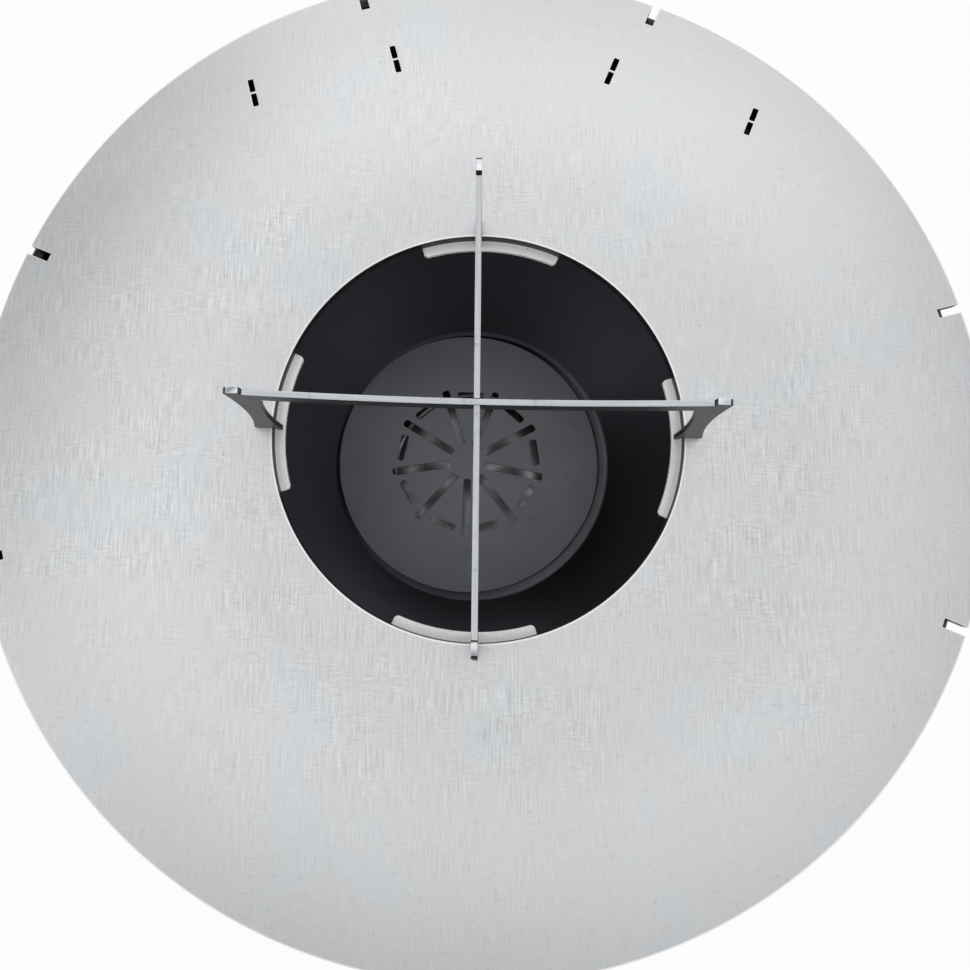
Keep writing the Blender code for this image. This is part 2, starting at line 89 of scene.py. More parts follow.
def axis_of(node):
    """The point at the ground below a node's middle."""
    middle = middle_of(node)
    return Vector((middle.x, middle.y, 0))


def radius_of(node):
    """Radius of a round node, from the smaller side of its box."""
    low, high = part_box(node)
    return min(high.x - low.x, high.y - low.y) / 2


def thickness_of(node):
    low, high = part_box(node)
    return high.z - low.z


PLATE_CENTRE = middle_of("griddle_plate")
BOWL_CENTRE = middle_of("fire_bowl")
GRATE_CENTRE = middle_of("fire_grate")
CROSS_CENTRE = middle_of("cross_upper_half")
PLATE_AXIS = axis_of("griddle_plate")
BOWL_AXIS = axis_of("fire_bowl")
CROSS_AXIS = axis_of("cross_upper_half")
PLATE_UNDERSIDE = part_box("griddle_plate")[0].z
RIM_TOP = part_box("fire_bowl")[1].z
BOWL_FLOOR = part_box("fire_bowl")[0].z


# Settings


class PlateSettings(bpy.types.PropertyGroup):
    radius: FloatProperty(
        name="Radius", description="Outer radius of the griddle plate",
        default=radius_of("griddle_plate"), unit="LENGTH")
    opening_radius: FloatProperty(
        name="Opening radius", description="Radius of the fire opening",
        default=0.1627, unit="LENGTH")
    arris: FloatProperty(
        name="Arris", description="Width of the eased edges",
        default=0.0005, unit="LENGTH")
    notch_depth: FloatProperty(
        name="Notch depth", description="Depth of the notches in the rim",
        default=0.0184, unit="LENGTH")
    notch_width: FloatProperty(
        name="Notch width", description="Width of the notches in the rim",
        default=0.0070, unit="LENGTH")
    notch_angle: FloatProperty(
        name="Notch angle", description="Angle of each notch from the middle of its side",
        default=math.radians(18.55), subtype="ANGLE")
    slot_length: FloatProperty(
        name="Slot length", description="Length of a slot at the far side",
        default=0.0116, unit="LENGTH")
    slot_width: FloatProperty(
        name="Slot width", description="Width of a slot at the far side",
        default=0.0047, unit="LENGTH")
    slot_spacing: FloatProperty(
        name="Slot spacing", description="Distance between the two slots of a pair",
        default=0.0134, unit="LENGTH")
    steel: FloatVectorProperty(
        name="Steel", description="Colour of the brushed plate",
        default=(0.66, 0.67, 0.68), subtype="COLOR")
    brushing_angle: FloatProperty(
        name="Brushing angle", description="Turn of the brushing from the plate's far side",
        default=math.radians(3.9), subtype="ANGLE")


class LedgeSettings(bpy.types.PropertyGroup):
    reach: FloatProperty(
        name="Reach", description="How far a ledge reaches into the opening",
        default=0.0075, unit="LENGTH")
    back: FloatProperty(
        name="Back", description="How far a ledge lies under the plate",
        default=0.022, unit="LENGTH")
    half_angle: FloatProperty(
        name="Half angle", description="Half of the arc that a ledge spans",
        default=math.radians(20.3), subtype="ANGLE")
    corner: FloatProperty(
        name="Corner", description="Radius of the inner corners",
        default=0.0035, unit="LENGTH")
    arris: FloatProperty(
        name="Arris", description="Width of the eased edges",
        default=0.0005, unit="LENGTH")
    steel: FloatVectorProperty(
        name="Steel", description="Colour of the ledges",
        default=(0.94, 0.94, 0.93), subtype="COLOR")


class LocatorSettings(bpy.types.PropertyGroup):
    back: FloatProperty(
        name="Back", description="Length of the leg that lies against the plate",
        default=0.025, unit="LENGTH")
    width: FloatProperty(
        name="Width", description="Width of a bracket",
        default=0.040, unit="LENGTH")
    sheet: FloatProperty(
        name="Sheet", description="Thickness of a bracket",
        default=0.004, unit="LENGTH")


class CrossSettings(bpy.types.PropertyGroup):
    reach: FloatProperty(
        name="Reach", description="Distance of the stops' ends from the middle",
        default=0.1590, unit="LENGTH")
    stop_width: FloatProperty(
        name="Stop width", description="Width of the raised stops",
        default=0.0104, unit="LENGTH")
    stop_rise: FloatProperty(
        name="Stop rise", description="Height of a stop above the beam's end",
        default=0.0048, unit="LENGTH")
    stop_chamfer: FloatProperty(
        name="Stop chamfer", description="Chamfer at the outer end of a stop",
        default=0.0024, unit="LENGTH")
    sag: FloatProperty(
        name="Sag", description="Depth of the hollow along the beam",
        default=0.0132, unit="LENGTH")
    depth: FloatProperty(
        name="Depth", description="Depth of the beam",
        default=0.0148, unit="LENGTH")
    inside_arc: FloatProperty(
        name="Inside arc", description="Radius of a leg's inner edge",
        default=0.430, unit="LENGTH")
    outside_arc: FloatProperty(
        name="Outside arc", description="Radius of a leg's flared outer edge",
        default=0.400, unit="LENGTH")
    flare_start: FloatProperty(
        name="Flare start", description="Distance of the flare's start below the stop's top",
        default=0.011, unit="LENGTH")
    foot_corner: FloatProperty(
        name="Foot corner", description="Chamfer of a foot's outer corner",
        default=0.003, unit="LENGTH")
    lug_drop: FloatProperty(
        name="Lug drop", description="How far a lug reaches into the opening",
        default=0.008, unit="LENGTH")
    lug_play: FloatProperty(
        name="Lug play", description="Distance between a lug and the opening's wall",
        default=0.0022, unit="LENGTH")
    lug_width: FloatProperty(
        name="Lug width", description="Width of a lug",
        default=0.0044, unit="LENGTH")
    lap_clearance: FloatProperty(
        name="Lap clearance", description="Clearance around the lapped halves",
        default=0.0004, unit="LENGTH")
    sheet: FloatProperty(
        name="Sheet", description="Thickness of the cross plates",
        default=0.004, unit="LENGTH")
    upper_turn: FloatProperty(
        name="Upper turn", description="Turn of the upper half from the right and left line",
        default=math.radians(2.5), subtype="ANGLE")
    lower_turn: FloatProperty(
        name="Lower turn", description="Turn of the lower half from the near and far line",
        default=math.radians(3.4), subtype="ANGLE")
    arris: FloatProperty(
        name="Arris", description="Width of the eased edges",
        default=0.0002, unit="LENGTH")
    edge_steel: FloatVectorProperty(
        name="Edge steel", description="Colour of the cut edges",
        default=(0.54, 0.56, 0.58), subtype="COLOR")
    scale_steel: FloatVectorProperty(
        name="Scale steel", description="Colour of the dark rolled faces",
        default=(0.084, 0.086, 0.090), subtype="COLOR")


class BowlSettings(bpy.types.PropertyGroup):
    sheet: FloatProperty(
        name="Sheet", description="Thickness of the bowl",
        default=0.003, unit="LENGTH")
    mouth_radius: FloatProperty(
        name="Mouth radius", description="Radius of the hole that holds the ash pan",
        default=0.1203, unit="LENGTH")
    floor_radius: FloatProperty(
        name="Floor radius", description="Radius of the flat floor",
        default=0.1423, unit="LENGTH")
    floor_curve: FloatProperty(
        name="Floor curve", description="Radius between the floor and the wall",
        default=0.012, unit="LENGTH")
    collar_height: FloatProperty(
        name="Collar height", description="Height of the upright collar",
        default=0.045, unit="LENGTH")
    shoulder_curve: FloatProperty(
        name="Shoulder curve", description="Radius between the wall and the collar",
        default=0.060, unit="LENGTH")
    curl: FloatProperty(
        name="Curl", description="Radius of the curled rim",
        default=0.005, unit="LENGTH")
    curl_sweep: FloatProperty(
        name="Curl sweep", description="Angle that the rim is curled through",
        default=math.radians(215), subtype="ANGLE")
    enamel: FloatVectorProperty(
        name="Enamel", description="Colour of the bowl",
        default=(0.0036, 0.0038, 0.0046), subtype="COLOR")


class GrateSettings(bpy.types.PropertyGroup):
    spokes: IntProperty(
        name="Spokes", description="Number of spoke slots, and of crosswise slots",
        default=9)
    turn: FloatProperty(
        name="Turn", description="Turn of the slots from the near side",
        default=math.radians(1.8), subtype="ANGLE")
    spoke_start: FloatProperty(
        name="Spoke start", description="Distance of a spoke slot's inner end from the middle",
        default=0.0185, unit="LENGTH")
    spoke_end: FloatProperty(
        name="Spoke end", description="Distance of a spoke slot's outer end from the middle",
        default=0.0802, unit="LENGTH")
    slot_width: FloatProperty(
        name="Slot width", description="Width of the slots",
        default=0.0076, unit="LENGTH")
    slot_corner: FloatProperty(
        name="Slot corner", description="Radius of the slots' corners",
        default=0.0027, unit="LENGTH")
    crosswise_radius: FloatProperty(
        name="Crosswise radius", description="Distance of the crosswise slots from the middle",
        default=0.0710, unit="LENGTH")
    crosswise_length: FloatProperty(
        name="Crosswise length", description="Length of the crosswise slots",
        default=0.0278, unit="LENGTH")
    arris: FloatProperty(
        name="Arris", description="Width of the eased edges",
        default=0.0005, unit="LENGTH")
    coat: FloatVectorProperty(
        name="Coat", description="Colour of the grate",
        default=(0.210, 0.217, 0.238), subtype="COLOR")


class PanSettings(bpy.types.PropertyGroup):
    sheet: FloatProperty(
        name="Sheet", description="Thickness of the ash pan",
        default=0.002, unit="LENGTH")
    play: FloatProperty(
        name="Play", description="Clearance of the pan in the bowl's mouth",
        default=0.0015, unit="LENGTH")
    flange: FloatProperty(
        name="Flange", description="Width of the flange that rests on the floor",
        default=0.012, unit="LENGTH")
    taper: FloatProperty(
        name="Taper", description="How far the wall leans in from top to bottom",
        default=0.022, unit="LENGTH")
    curve: FloatProperty(
        name="Curve", description="Radius between the pan's bottom and its wall",
        default=0.010, unit="LENGTH")
    steel: FloatVectorProperty(
        name="Steel", description="Colour of the ash pan",
        default=(0.270, 0.275, 0.288), subtype="COLOR")


class LegSettings(bpy.types.PropertyGroup):
    width: FloatProperty(
        name="Width", description="Width of a leg",
        default=0.060, unit="LENGTH")
    thickness: FloatProperty(
        name="Thickness", description="Thickness of a leg",
        default=0.006, unit="LENGTH")
    pad_rise: FloatProperty(
        name="Pad rise", description="Distance of the pad's middle up the wall",
        default=0.1813, unit="LENGTH")
    pad_length: FloatProperty(
        name="Pad length", description="Length of the pad that lies on the wall",
        default=0.098, unit="LENGTH")
    bend: FloatProperty(
        name="Bend", description="Radius of the upper bend",
        default=0.022, unit="LENGTH")
    foot_bend: FloatProperty(
        name="Foot bend", description="Radius of the lower bend",
        default=0.014, unit="LENGTH")
    foot_radius: FloatProperty(
        name="Foot radius", description="Distance of a foot's bend from the middle",
        default=0.318, unit="LENGTH")
    foot_length: FloatProperty(
        name="Foot length", description="Length of a foot",
        default=0.062, unit="LENGTH")
    gap: FloatProperty(
        name="Gap", description="Gap between pieces that touch",
        default=0.0003, unit="LENGTH")
    arris: FloatProperty(
        name="Arris", description="Width of the eased edges",
        default=0.0009, unit="LENGTH")
    coat: FloatVectorProperty(
        name="Coat", description="Colour of the legs",
        default=(0.020, 0.020, 0.021), subtype="COLOR")


class FastenerSettings(bpy.types.PropertyGroup):
    spacing: FloatProperty(
        name="Spacing", description="Distance between a leg's two bolts",
        default=0.040, unit="LENGTH")
    bolt_radius: FloatProperty(
        name="Bolt radius", description="Radius of the bolts",
        default=0.004, unit="LENGTH")
    pitch: FloatProperty(
        name="Pitch", description="Distance between two ridges of the thread",
        default=0.00125, unit="LENGTH")
    head_radius: FloatProperty(
        name="Head radius", description="Radius of the domed heads",
        default=0.010, unit="LENGTH")
    head_height: FloatProperty(
        name="Head height", description="Height of the domed heads",
        default=0.0048, unit="LENGTH")
    head_gap: FloatProperty(
        name="Head gap", description="Gap below a flat head on the curved wall",
        default=0.0005, unit="LENGTH")
    washer_radius: FloatProperty(
        name="Washer radius", description="Radius of the washers",
        default=0.0095, unit="LENGTH")
    washer_thickness: FloatProperty(
        name="Washer thickness", description="Thickness of the washers",
        default=0.0016, unit="LENGTH")
    nut_radius: FloatProperty(
        name="Nut radius", description="Radius across the nuts' corners",
        default=0.0075, unit="LENGTH")
    nut_height: FloatProperty(
        name="Nut height", description="Height of the nuts",
        default=0.0065, unit="LENGTH")
    bolt_end: FloatProperty(
        name="Bolt end", description="How far a bolt stands out of its nut",
        default=0.003, unit="LENGTH")
    clearance: FloatProperty(
        name="Clearance", description="Clearance around the bolts",
        default=0.0003, unit="LENGTH")
    zinc: FloatVectorProperty(
        name="Zinc", description="Colour of the fasteners",
        default=(0.60, 0.61, 0.60), subtype="COLOR")


class StageSettings(bpy.types.PropertyGroup):
    camera_place: FloatVectorProperty(
        name="Camera place", description="Where the camera stands",
        default=(0.0123, -0.0990, 1.0219), subtype="TRANSLATION")
    camera_turn: FloatVectorProperty(
        name="Camera turn", description="Tilt, roll and turn of the camera from straight down",
        default=(math.radians(8.190), math.radians(0.714), math.radians(4.035)), subtype="EULER")
    focal_length: FloatProperty(
        name="Focal length", description="Focal length for a sensor 36 mm wide, in millimetres",
        default=28.02, unit="CAMERA")
    shift: FloatVectorProperty(
        name="Shift", description="Sideways and upward shift of the picture, as shares of its width",
        default=(0.0145, -0.0364), size=2)
    floor_colour: FloatVectorProperty(
        name="Floor colour", description="Colour of the floor",
        default=(0.92, 0.92, 0.92), subtype="COLOR")
    sky: FloatProperty(
        name="Sky", description="Brightness of the sky overhead",
        default=0.98)
    near_dusk: FloatProperty(
        name="Near dusk", description="Share of the light that the band of sky at the near side lacks",
        default=0.75, subtype="FACTOR")
    left_dusk: FloatProperty(
        name="Left dusk", description="Share of the light that the band of sky at the left lacks",
        default=0.74, subtype="FACTOR")
    right_dusk: FloatProperty(
        name="Right dusk", description="Share of the light that the band of sky at the right lacks",
        default=0.35, subtype="FACTOR")
    lamp_power: FloatProperty(
        name="Lamp power", description="Power of the large soft lamp at the far side, in watts",
        default=3.5, unit="POWER")


# Outlines


def polar(radius, angle):
    return Vector((radius * math.cos(angle), radius * math.sin(angle)))


def spread(start, end, steps):
    return [start + (end - start) * i / steps for i in range(steps + 1)]


def arc(centre, radius, start, end, steps):
    """Points on an arc from one angle to another, both ends included."""
    return [Vector(centre) + polar(radius, angle) for angle in spread(start, end, steps)]


def circle(radius, steps):
    return arc((0, 0), radius, 0, math.tau, steps)[:-1]


def fillet(before, corner, after, radius, steps):
    """Points of the arc that rounds a corner of a path."""
    if radius == 0:
        return [corner]
    way_in = (before - corner).normalized()
    way_out = (after - corner).normalized()
    half = way_in.angle(way_out) / 2
    middle = corner + (way_in + way_out).normalized() * radius / math.sin(half)
    start = corner + way_in * radius / math.tan(half) - middle
    turn = start.angle_signed(corner + way_out * radius / math.tan(half) - middle)
    return [middle + Matrix.Rotation(-part, 2) @ start for part in spread(0, turn, steps)]


def rounded(points, radii, steps, closed=False):
    """A path with its corners rounded; an open path keeps its two ends."""
    points = [Vector(point) for point in points]
    count = len(points)
    result = []
    for i, point in enumerate(points):
        if not closed and i in (0, count - 1):
            result.append(point)
        else:
            result += fillet(points[i - 1], point, points[(i + 1) % count], radii[i], steps)
    return result


def side_of(path, distance):
    """The path moved sideways to its left, with mitred corners."""
    lefts = []
    for start, end in zip(path, path[1:]):
        along = (end - start).normalized()
        lefts.append(Vector((-along.y, along.x)))
    moved = []
    for i, point in enumerate(path):
        before = lefts[max(i - 1, 0)]
        after = lefts[min(i, len(lefts) - 1)]
        across = (before + after).normalized()
        moved.append(point + across * distance / across.dot(before))
    return moved


def sheet_outline(path, thickness):
    """Both faces of a sheet that follows a path: its left face, then its right face back again."""
    return side_of(path, thickness / 2) + side_of(path, -thickness / 2)[::-1]


def slot_outline(length, width, corner, centre, angle):
    """A slot with rounded corners, lying along a direction."""
    x = length / 2
    y = width / 2
    corner_steps = 5
    turn = Matrix.Rotation(angle, 2)
    box = rounded([(-x, -y), (x, -y), (x, y), (-x, y)], [corner] * 4, corner_steps, closed=True)
    return [centre + turn @ point for point in box]


# Meshes


def linked(name, data):
    """A new object in the scene that shows the data."""
    obj = bpy.data.objects.new(name, data)
    bpy.context.scene.collection.objects.link(obj)
    return obj


def finished_mesh(shape, name):
    """A new mesh of a bmesh, which is freed."""
    mesh = bpy.data.meshes.new(name)
    shape.to_mesh(mesh)
    shape.free()
    return mesh


def evaluated_mesh(obj):
    """A new mesh of an object as its modifiers or its curve make it."""
    bpy.context.view_layer.update()
    return bpy.data.meshes.new_from_object(obj.evaluated_get(bpy.context.evaluated_depsgraph_get()))


def lies_flat(face):
    return abs(face.normal.z) > 0.9


def plate_mesh(outlines, thickness, arris, steps=2):
    """A flat plate cut to its outlines, the rim first and then the holes, with eased edges."""
    curve = bpy.data.curves.new("outline", "CURVE")
    curve.dimensions = "2D"
    curve.fill_mode = "BOTH"
    curve.extrude = thickness / 2
    for outline in outlines:
        spline = curve.splines.new("POLY")
        spline.points.add(len(outline) - 1)
        for target, point in zip(spline.points, outline):
            target.co = (point.x, point.y, 0, 1)
        spline.use_cyclic_u = True
    holder = linked("outline", curve)
    mesh = evaluated_mesh(holder)
    bpy.data.objects.remove(holder, do_unlink=True)
    bpy.data.curves.remove(curve)
    shape = bmesh.new()
    shape.from_mesh(mesh)
    bmesh.ops.remove_doubles(shape, verts=shape.verts, dist=MERGE)
    bmesh.ops.dissolve_limit(shape, angle_limit=math.radians(0.4), verts=shape.verts, edges=shape.edges)
    bmesh.ops.recalc_face_normals(shape, faces=shape.faces)
    shape.normal_update()
    for face in shape.faces:
        face.smooth = not lies_flat(face)
        face.material_index = FACE if lies_flat(face) else WALL
    edges = [edge for edge in shape.edges if len({lies_flat(face) for face in edge.link_faces}) == 2]
    eased = bmesh.ops.bevel(
        shape, geom=edges, offset=arris, segments=steps, profile=0.5, affect="EDGES",
        material=-1, loop_slide=False, clamp_overlap=False)
    for face in eased["faces"]:
        face.smooth = True
        face.material_index = ARRIS
    # The flat faces are filled again, because easing a corner can push it past an edge that crosses them
    flats = [face for face in shape.faces if face.material_index == FACE]
    bmesh.ops.delete(shape, geom=flats, context="FACES")
    for side in (-1, 1):
        rims = [edge for edge in shape.edges if edge.is_boundary and edge.verts[0].co.z * side > 0]
        bmesh.ops.triangle_fill(shape, use_beauty=True, use_dissolve=False, edges=rims, normal=(0, 0, side))
    bmesh.ops.recalc_face_normals(shape, faces=shape.faces)
    for edge in shape.edges:
        edge.smooth = edge.calc_face_angle(0) < CUT_CREASE
    shape.to_mesh(mesh)
    shape.free()
    return mesh


def spun_mesh(profile, steps, closed=True):
    """A profile of distance and height, spun once around the vertical."""
    shape = bmesh.new()
    verts = [shape.verts.new((point.x, 0, point.y)) for point in profile]
    following = verts[1:] + verts[:1] if closed else verts[1:]
    edges = [shape.edges.new(pair) for pair in zip(verts, following)]
    bmesh.ops.spin(
        shape, geom=verts + edges, cent=(0, 0, 0), axis=(0, 0, 1), dvec=(0, 0, 0),
        angle=math.tau, steps=steps, use_merge=True, use_duplicate=False)
    bmesh.ops.remove_doubles(shape, verts=shape.verts, dist=MERGE)
    bmesh.ops.recalc_face_normals(shape, faces=shape.faces)
    mesh = finished_mesh(shape, "spun")
    mesh.shade_smooth()
    mesh.set_sharp_from_angle(angle=SPUN_CREASE)
    return mesh


def placed(mesh, location, turn=0.0, tilt=0.0, upright=False):
    """A copy of a mesh, stood upright or tilted towards its middle, then turned and moved."""
    copy = mesh.copy()
    pose = Matrix.Rotation(RIGHT_ANGLE, 4, "X") if upright else Matrix.Rotation(-tilt, 4, "Y")
    copy.transform(Matrix.Translation(location) @ Matrix.Rotation(turn, 4, "Z") @ pose)
    return copy


def drilled(mesh, rods):
    """The mesh with holes where the rods go through it."""
    blank = linked("blank", mesh)
    drill = linked("drill", rods)
    boolean = blank.modifiers.new("holes", "BOOLEAN")
    boolean.operation = "DIFFERENCE"
    boolean.solver = "EXACT"
    boolean.object = drill
    result = evaluated_mesh(blank)
    for obj in (blank, drill):
        bpy.data.objects.remove(obj, do_unlink=True)
    return result


def dress(name, mesh, body, node, finishes):
    """Shows a finished mesh that rides on a body, in place of its node where it has one."""
    mesh.name = name
    for finish in finishes:
        mesh.materials.append(finish)
    piece = linked(name, mesh)
    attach(piece, body)
    if node:
        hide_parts(node)


# Finishes


class Reading:
    """A value in a finish that plain arithmetic works on."""

    def __init__(self, finish, socket):
        self.finish = finish
        self.socket = socket

    def __add__(self, other):
        return self.finish.maths("ADD", self, other)

    def __sub__(self, other):
        return self.finish.maths("SUBTRACT", self, other)

    def __rsub__(self, other):
        return self.finish.maths("SUBTRACT", other, self)

    def __mul__(self, other):
        return self.finish.maths("MULTIPLY", self, other)

    __radd__ = __add__
    __rmul__ = __mul__


class Finish:
    """A procedural material, whose patterns lie in the frame around a centre."""

    def __init__(self, name, centre=(0, 0, 0), turn=0.0):
        self.material = bpy.data.materials.new(name)
        self.material.use_nodes = True
        self.tree = self.material.node_tree
        self.surface = self.tree.nodes["Principled BSDF"]
        spot = self.node("ShaderNodeTexCoord", {}, {}, "Object")
        spot = self.node(
            "ShaderNodeVectorMath", {"operation": "SUBTRACT"}, {0: spot, 1: Vector(centre)}, "Vector")
        self.spot = self.node("ShaderNodeMapping", {}, {"Vector": spot, "Rotation": (0, 0, -turn)}, "Vector")

    def feed(self, socket, value):
        """Links a reading to a socket, or sets the socket itself to a constant."""
        if isinstance(value, Reading):
            self.tree.links.new(value.socket, socket)
        elif socket.type == "RGBA":
            socket.default_value = (*value[:3], 1)
        else:
            socket.default_value = value

    def node(self, kind, settings, inputs, output=0):
        """A reading of a new node's output, once its settings and then its sockets are set."""
        node = self.tree.nodes.new(kind)
        for key, value in settings.items():
            setattr(node, key, value)
        for key, value in inputs.items():
            self.feed(node.inputs[key], value)
        return Reading(self, node.outputs[output])

    def maths(self, operation, *operands):
        return self.node("ShaderNodeMath", {"operation": operation}, dict(enumerate(operands)))

    def noise(self, stretch, detail=2.0, roughness=0.5, distortion=0.0, shift=0.0):
        """Noise with as many grains to the metre along each axis as the stretch says."""
        stretch = Vector(stretch) if isinstance(stretch, tuple) else Vector((stretch,) * 3)
        spot = self.node(
            "ShaderNodeVectorMath", {"operation": "MULTIPLY_ADD"},
            {0: self.spot, 1: stretch, 2: Vector((shift,) * 3)}, "Vector")
        return self.node(
            "ShaderNodeTexNoise", {},
            {"Vector": spot, "Scale": 1.0, "Detail": detail, "Roughness": roughness,
             "Distortion": distortion})

    def uneven(self, stretch, **settings):
        """Noise that goes as far below 0 as above it."""
        return self.noise(stretch, **settings) - 0.5

    def patches(self, low, high, stretch, **settings):
        """Patches with soft edges, where noise rises from low to high."""
        return self.rise(self.noise(stretch, **settings), low, high)

    def radius(self, middle=(0, 0)):
        """Distance from an upright line, the finish's own middle line unless another is given."""
        flat = self.node(
            "ShaderNodeVectorMath", {"operation": "MULTIPLY_ADD"},
            {0: self.spot, 1: Vector((1, 1, 0)), 2: Vector((-middle[0], -middle[1], 0))}, "Vector")
        return self.node("ShaderNodeVectorMath", {"operation": "LENGTH"}, {0: flat}, "Value")

    def along(self, direction):
        """Distance from the finish's centre along a direction."""
        return self.node(
            "ShaderNodeVectorMath", {"operation": "DOT_PRODUCT"},
            {0: self.spot, 1: Vector(direction)}, "Value")

    def rise(self, value, low, high):
        """Smoothly from 0 to 1 as the value goes from low to high, or down to high where that is less."""
        return self.node(
            "ShaderNodeMapRange", {"interpolation_type": "SMOOTHSTEP"},
            {"Value": value, "From Min": low, "From Max": high})

    def band(self, value, place, rising, falling):
        """1 about a place in the value's run, with a smooth rise before it and a smooth fall after it."""
        before = self.rise(value, place + rising[0], place + rising[1])
        return before - self.rise(value, place + falling[0], place + falling[1])

    def mix(self, factor, first, second):
        return self.node(
            "ShaderNodeMix", {"data_type": "RGBA"},
            {MIX_FACTOR: factor, MIX_FIRST: first, MIX_SECOND: second}, MIX_RESULT)

    def shade(self, colour, amount):
        """A colour made lighter or darker by an amount around 1."""
        colour = colour if isinstance(colour, Reading) else Vector(colour)
        return self.node(
            "ShaderNodeVectorMath", {"operation": "SCALE"}, {0: colour, "Scale": amount}, "Vector")

    def bump(self, height, distance):
        return self.node(
            "ShaderNodeBump", {}, {"Height": height, "Distance": distance, "Strength": 1.0}, "Normal")

    def paint(self, **sockets):
        for name, value in sockets.items():
            self.feed(self.surface.inputs[name.replace("_", " ")], value)
        return self.material


def brushed_plate_finish(plate):
    """Light rolled plate with long strokes crossed by short ones, like linen, with painted light and shade in
    rings and across it, and a painted highlight along its edges.
    """
    finish = Finish("brushed plate", PLATE_CENTRE, plate.brushing_angle)
    strokes = finish.uneven((740, 42, 1), detail=3, roughness=0.65, distortion=0.15)
    threads = finish.uneven((90, 560, 1), detail=2, roughness=0.6, distortion=0.15, shift=7)
    grains = finish.uneven((900, 420, 1), detail=1, shift=27)
    patches = finish.patches(0.38, 0.62, 26, detail=2, shift=3)
    woven = finish.patches(0.45, 0.62, 34, detail=1, shift=11)
    worked = finish.patches(0.38, 0.62, 5.5, detail=1, shift=23) * 0.6 + 0.75
    radius = finish.radius()
    far = finish.along((0.4, 0.9, 0))
    near = finish.along((0, -1, 0))
    far_left = finish.along((-0.8, 0.6, 0))
    left = finish.along((-0.92, 0.40, 0))
    worked = worked * (1 - finish.rise(far, 0.10, 0.32) * 0.60) * (1 - finish.rise(near, 0.20, 0.32) * 0.50)
    worked = worked * (1 + finish.rise(far_left, 0.08, 0.26) * 0.40)
    worked = worked * (1 - finish.rise(radius, 0.26, 0.39) * 0.35)
    clouds = finish.uneven(7, detail=3, distortion=0.4, shift=19)
    smudges = finish.patches(0.68, 0.78, (70, 45, 1), detail=1, shift=31)
    specks = finish.patches(0.26, 0.18, 260, detail=0, shift=5)
    # Painted light and shade: a lighter ring about 0.25 to 0.3 m from a point a little off the middle, darker
    # beyond it towards the rim
    aside = finish.radius((0.030, -0.015))
    swell = finish.rise(aside, 0.21, 0.28) * 0.06 - finish.rise(aside, 0.30, 0.42) * 0.13
    light = 1 + (strokes * (0.34 + 0.40 * patches) + threads * (0.10 + 0.26 * woven)) * worked
    light = light + grains * 0.12 + clouds * 0.11 + smudges * 0.04 - specks * 0.08 + swell
    # Painted shade and light across the plate: a little darker towards the far right, lighter towards the
    # left edge
    light = light * (0.99 - finish.along((0.06, 0.05, 0))) + finish.rise(left, 0.08, 0.30) * 0.12
    inner = plate.opening_radius + plate.arris
    outer = plate.radius - plate.arris
    # Painted highlight: a bright strip on the face along the opening's and the rim's eased edges, where they
    # catch the light
    painted_edge_highlight = finish.rise(radius, inner + 0.0012, inner + 0.0006)
    painted_edge_highlight = painted_edge_highlight + finish.rise(radius, outer - 0.0010, outer - 0.0005)
    bluish = finish.patches(0.50, 0.70, 11, detail=2, shift=41)
    steel = finish.mix(bluish * 0.6, plate.steel, Vector(plate.steel) + Vector((-0.005, 0.012, 0.026)))
    colour = finish.mix(painted_edge_highlight * 0.8, finish.shade(steel, light), (0.95, 0.95, 0.95))
    roughness = 0.40 + clouds * 0.12 + strokes * 0.10
    return finish.paint(
        Base_Color=colour, Metallic=1.0, Roughness=roughness,
        Normal=finish.bump(strokes + threads * 0.6, 0.00003))


def cut_wall_finish():
    """Dark, oxidised cut walls of the plate with upright cutting lines, their colour darkened to near black
    as painted shade.
    """
    finish = Finish("cut wall", PLATE_CENTRE)
    lines = finish.uneven((520, 520, 6), detail=2)
    return finish.paint(
        Base_Color=finish.shade((0.050, 0.050, 0.053), 1 + lines * 0.8), Metallic=0.9,
        Roughness=0.45 + lines * 0.2, Normal=finish.bump(lines, 0.0001))


def arris_finish():
    """Bright metal where the edges have been broken with a file, made lighter still as a painted highlight
    along the edges.
    """
    finish = Finish("bright arris", PLATE_CENTRE)
    wear = finish.uneven(140, detail=3)
    return finish.paint(
        Base_Color=finish.shade((0.90, 0.91, 0.92), 1 + wear * 0.18), Metallic=1.0,
        Roughness=0.46 + wear * 0.2)


def ledge_finish(ledge):
    """Light steel with fine brushing and a few dark specks."""
    finish = Finish("ledge steel", PLATE_CENTRE, math.radians(12))
    strokes = finish.uneven((30, 700, 30), detail=3)
    clouds = finish.uneven(38, detail=2, shift=4)
    specks = finish.patches(0.30, 0.22, 420, detail=1, shift=9)
    light = 1 + strokes * 0.10 + clouds * 0.12 - specks * 0.35
    return finish.paint(
        Base_Color=finish.shade(ledge.steel, light), Metallic=0.3,
        Roughness=0.60 + clouds * 0.15, Normal=finish.bump(strokes, 0.00003))


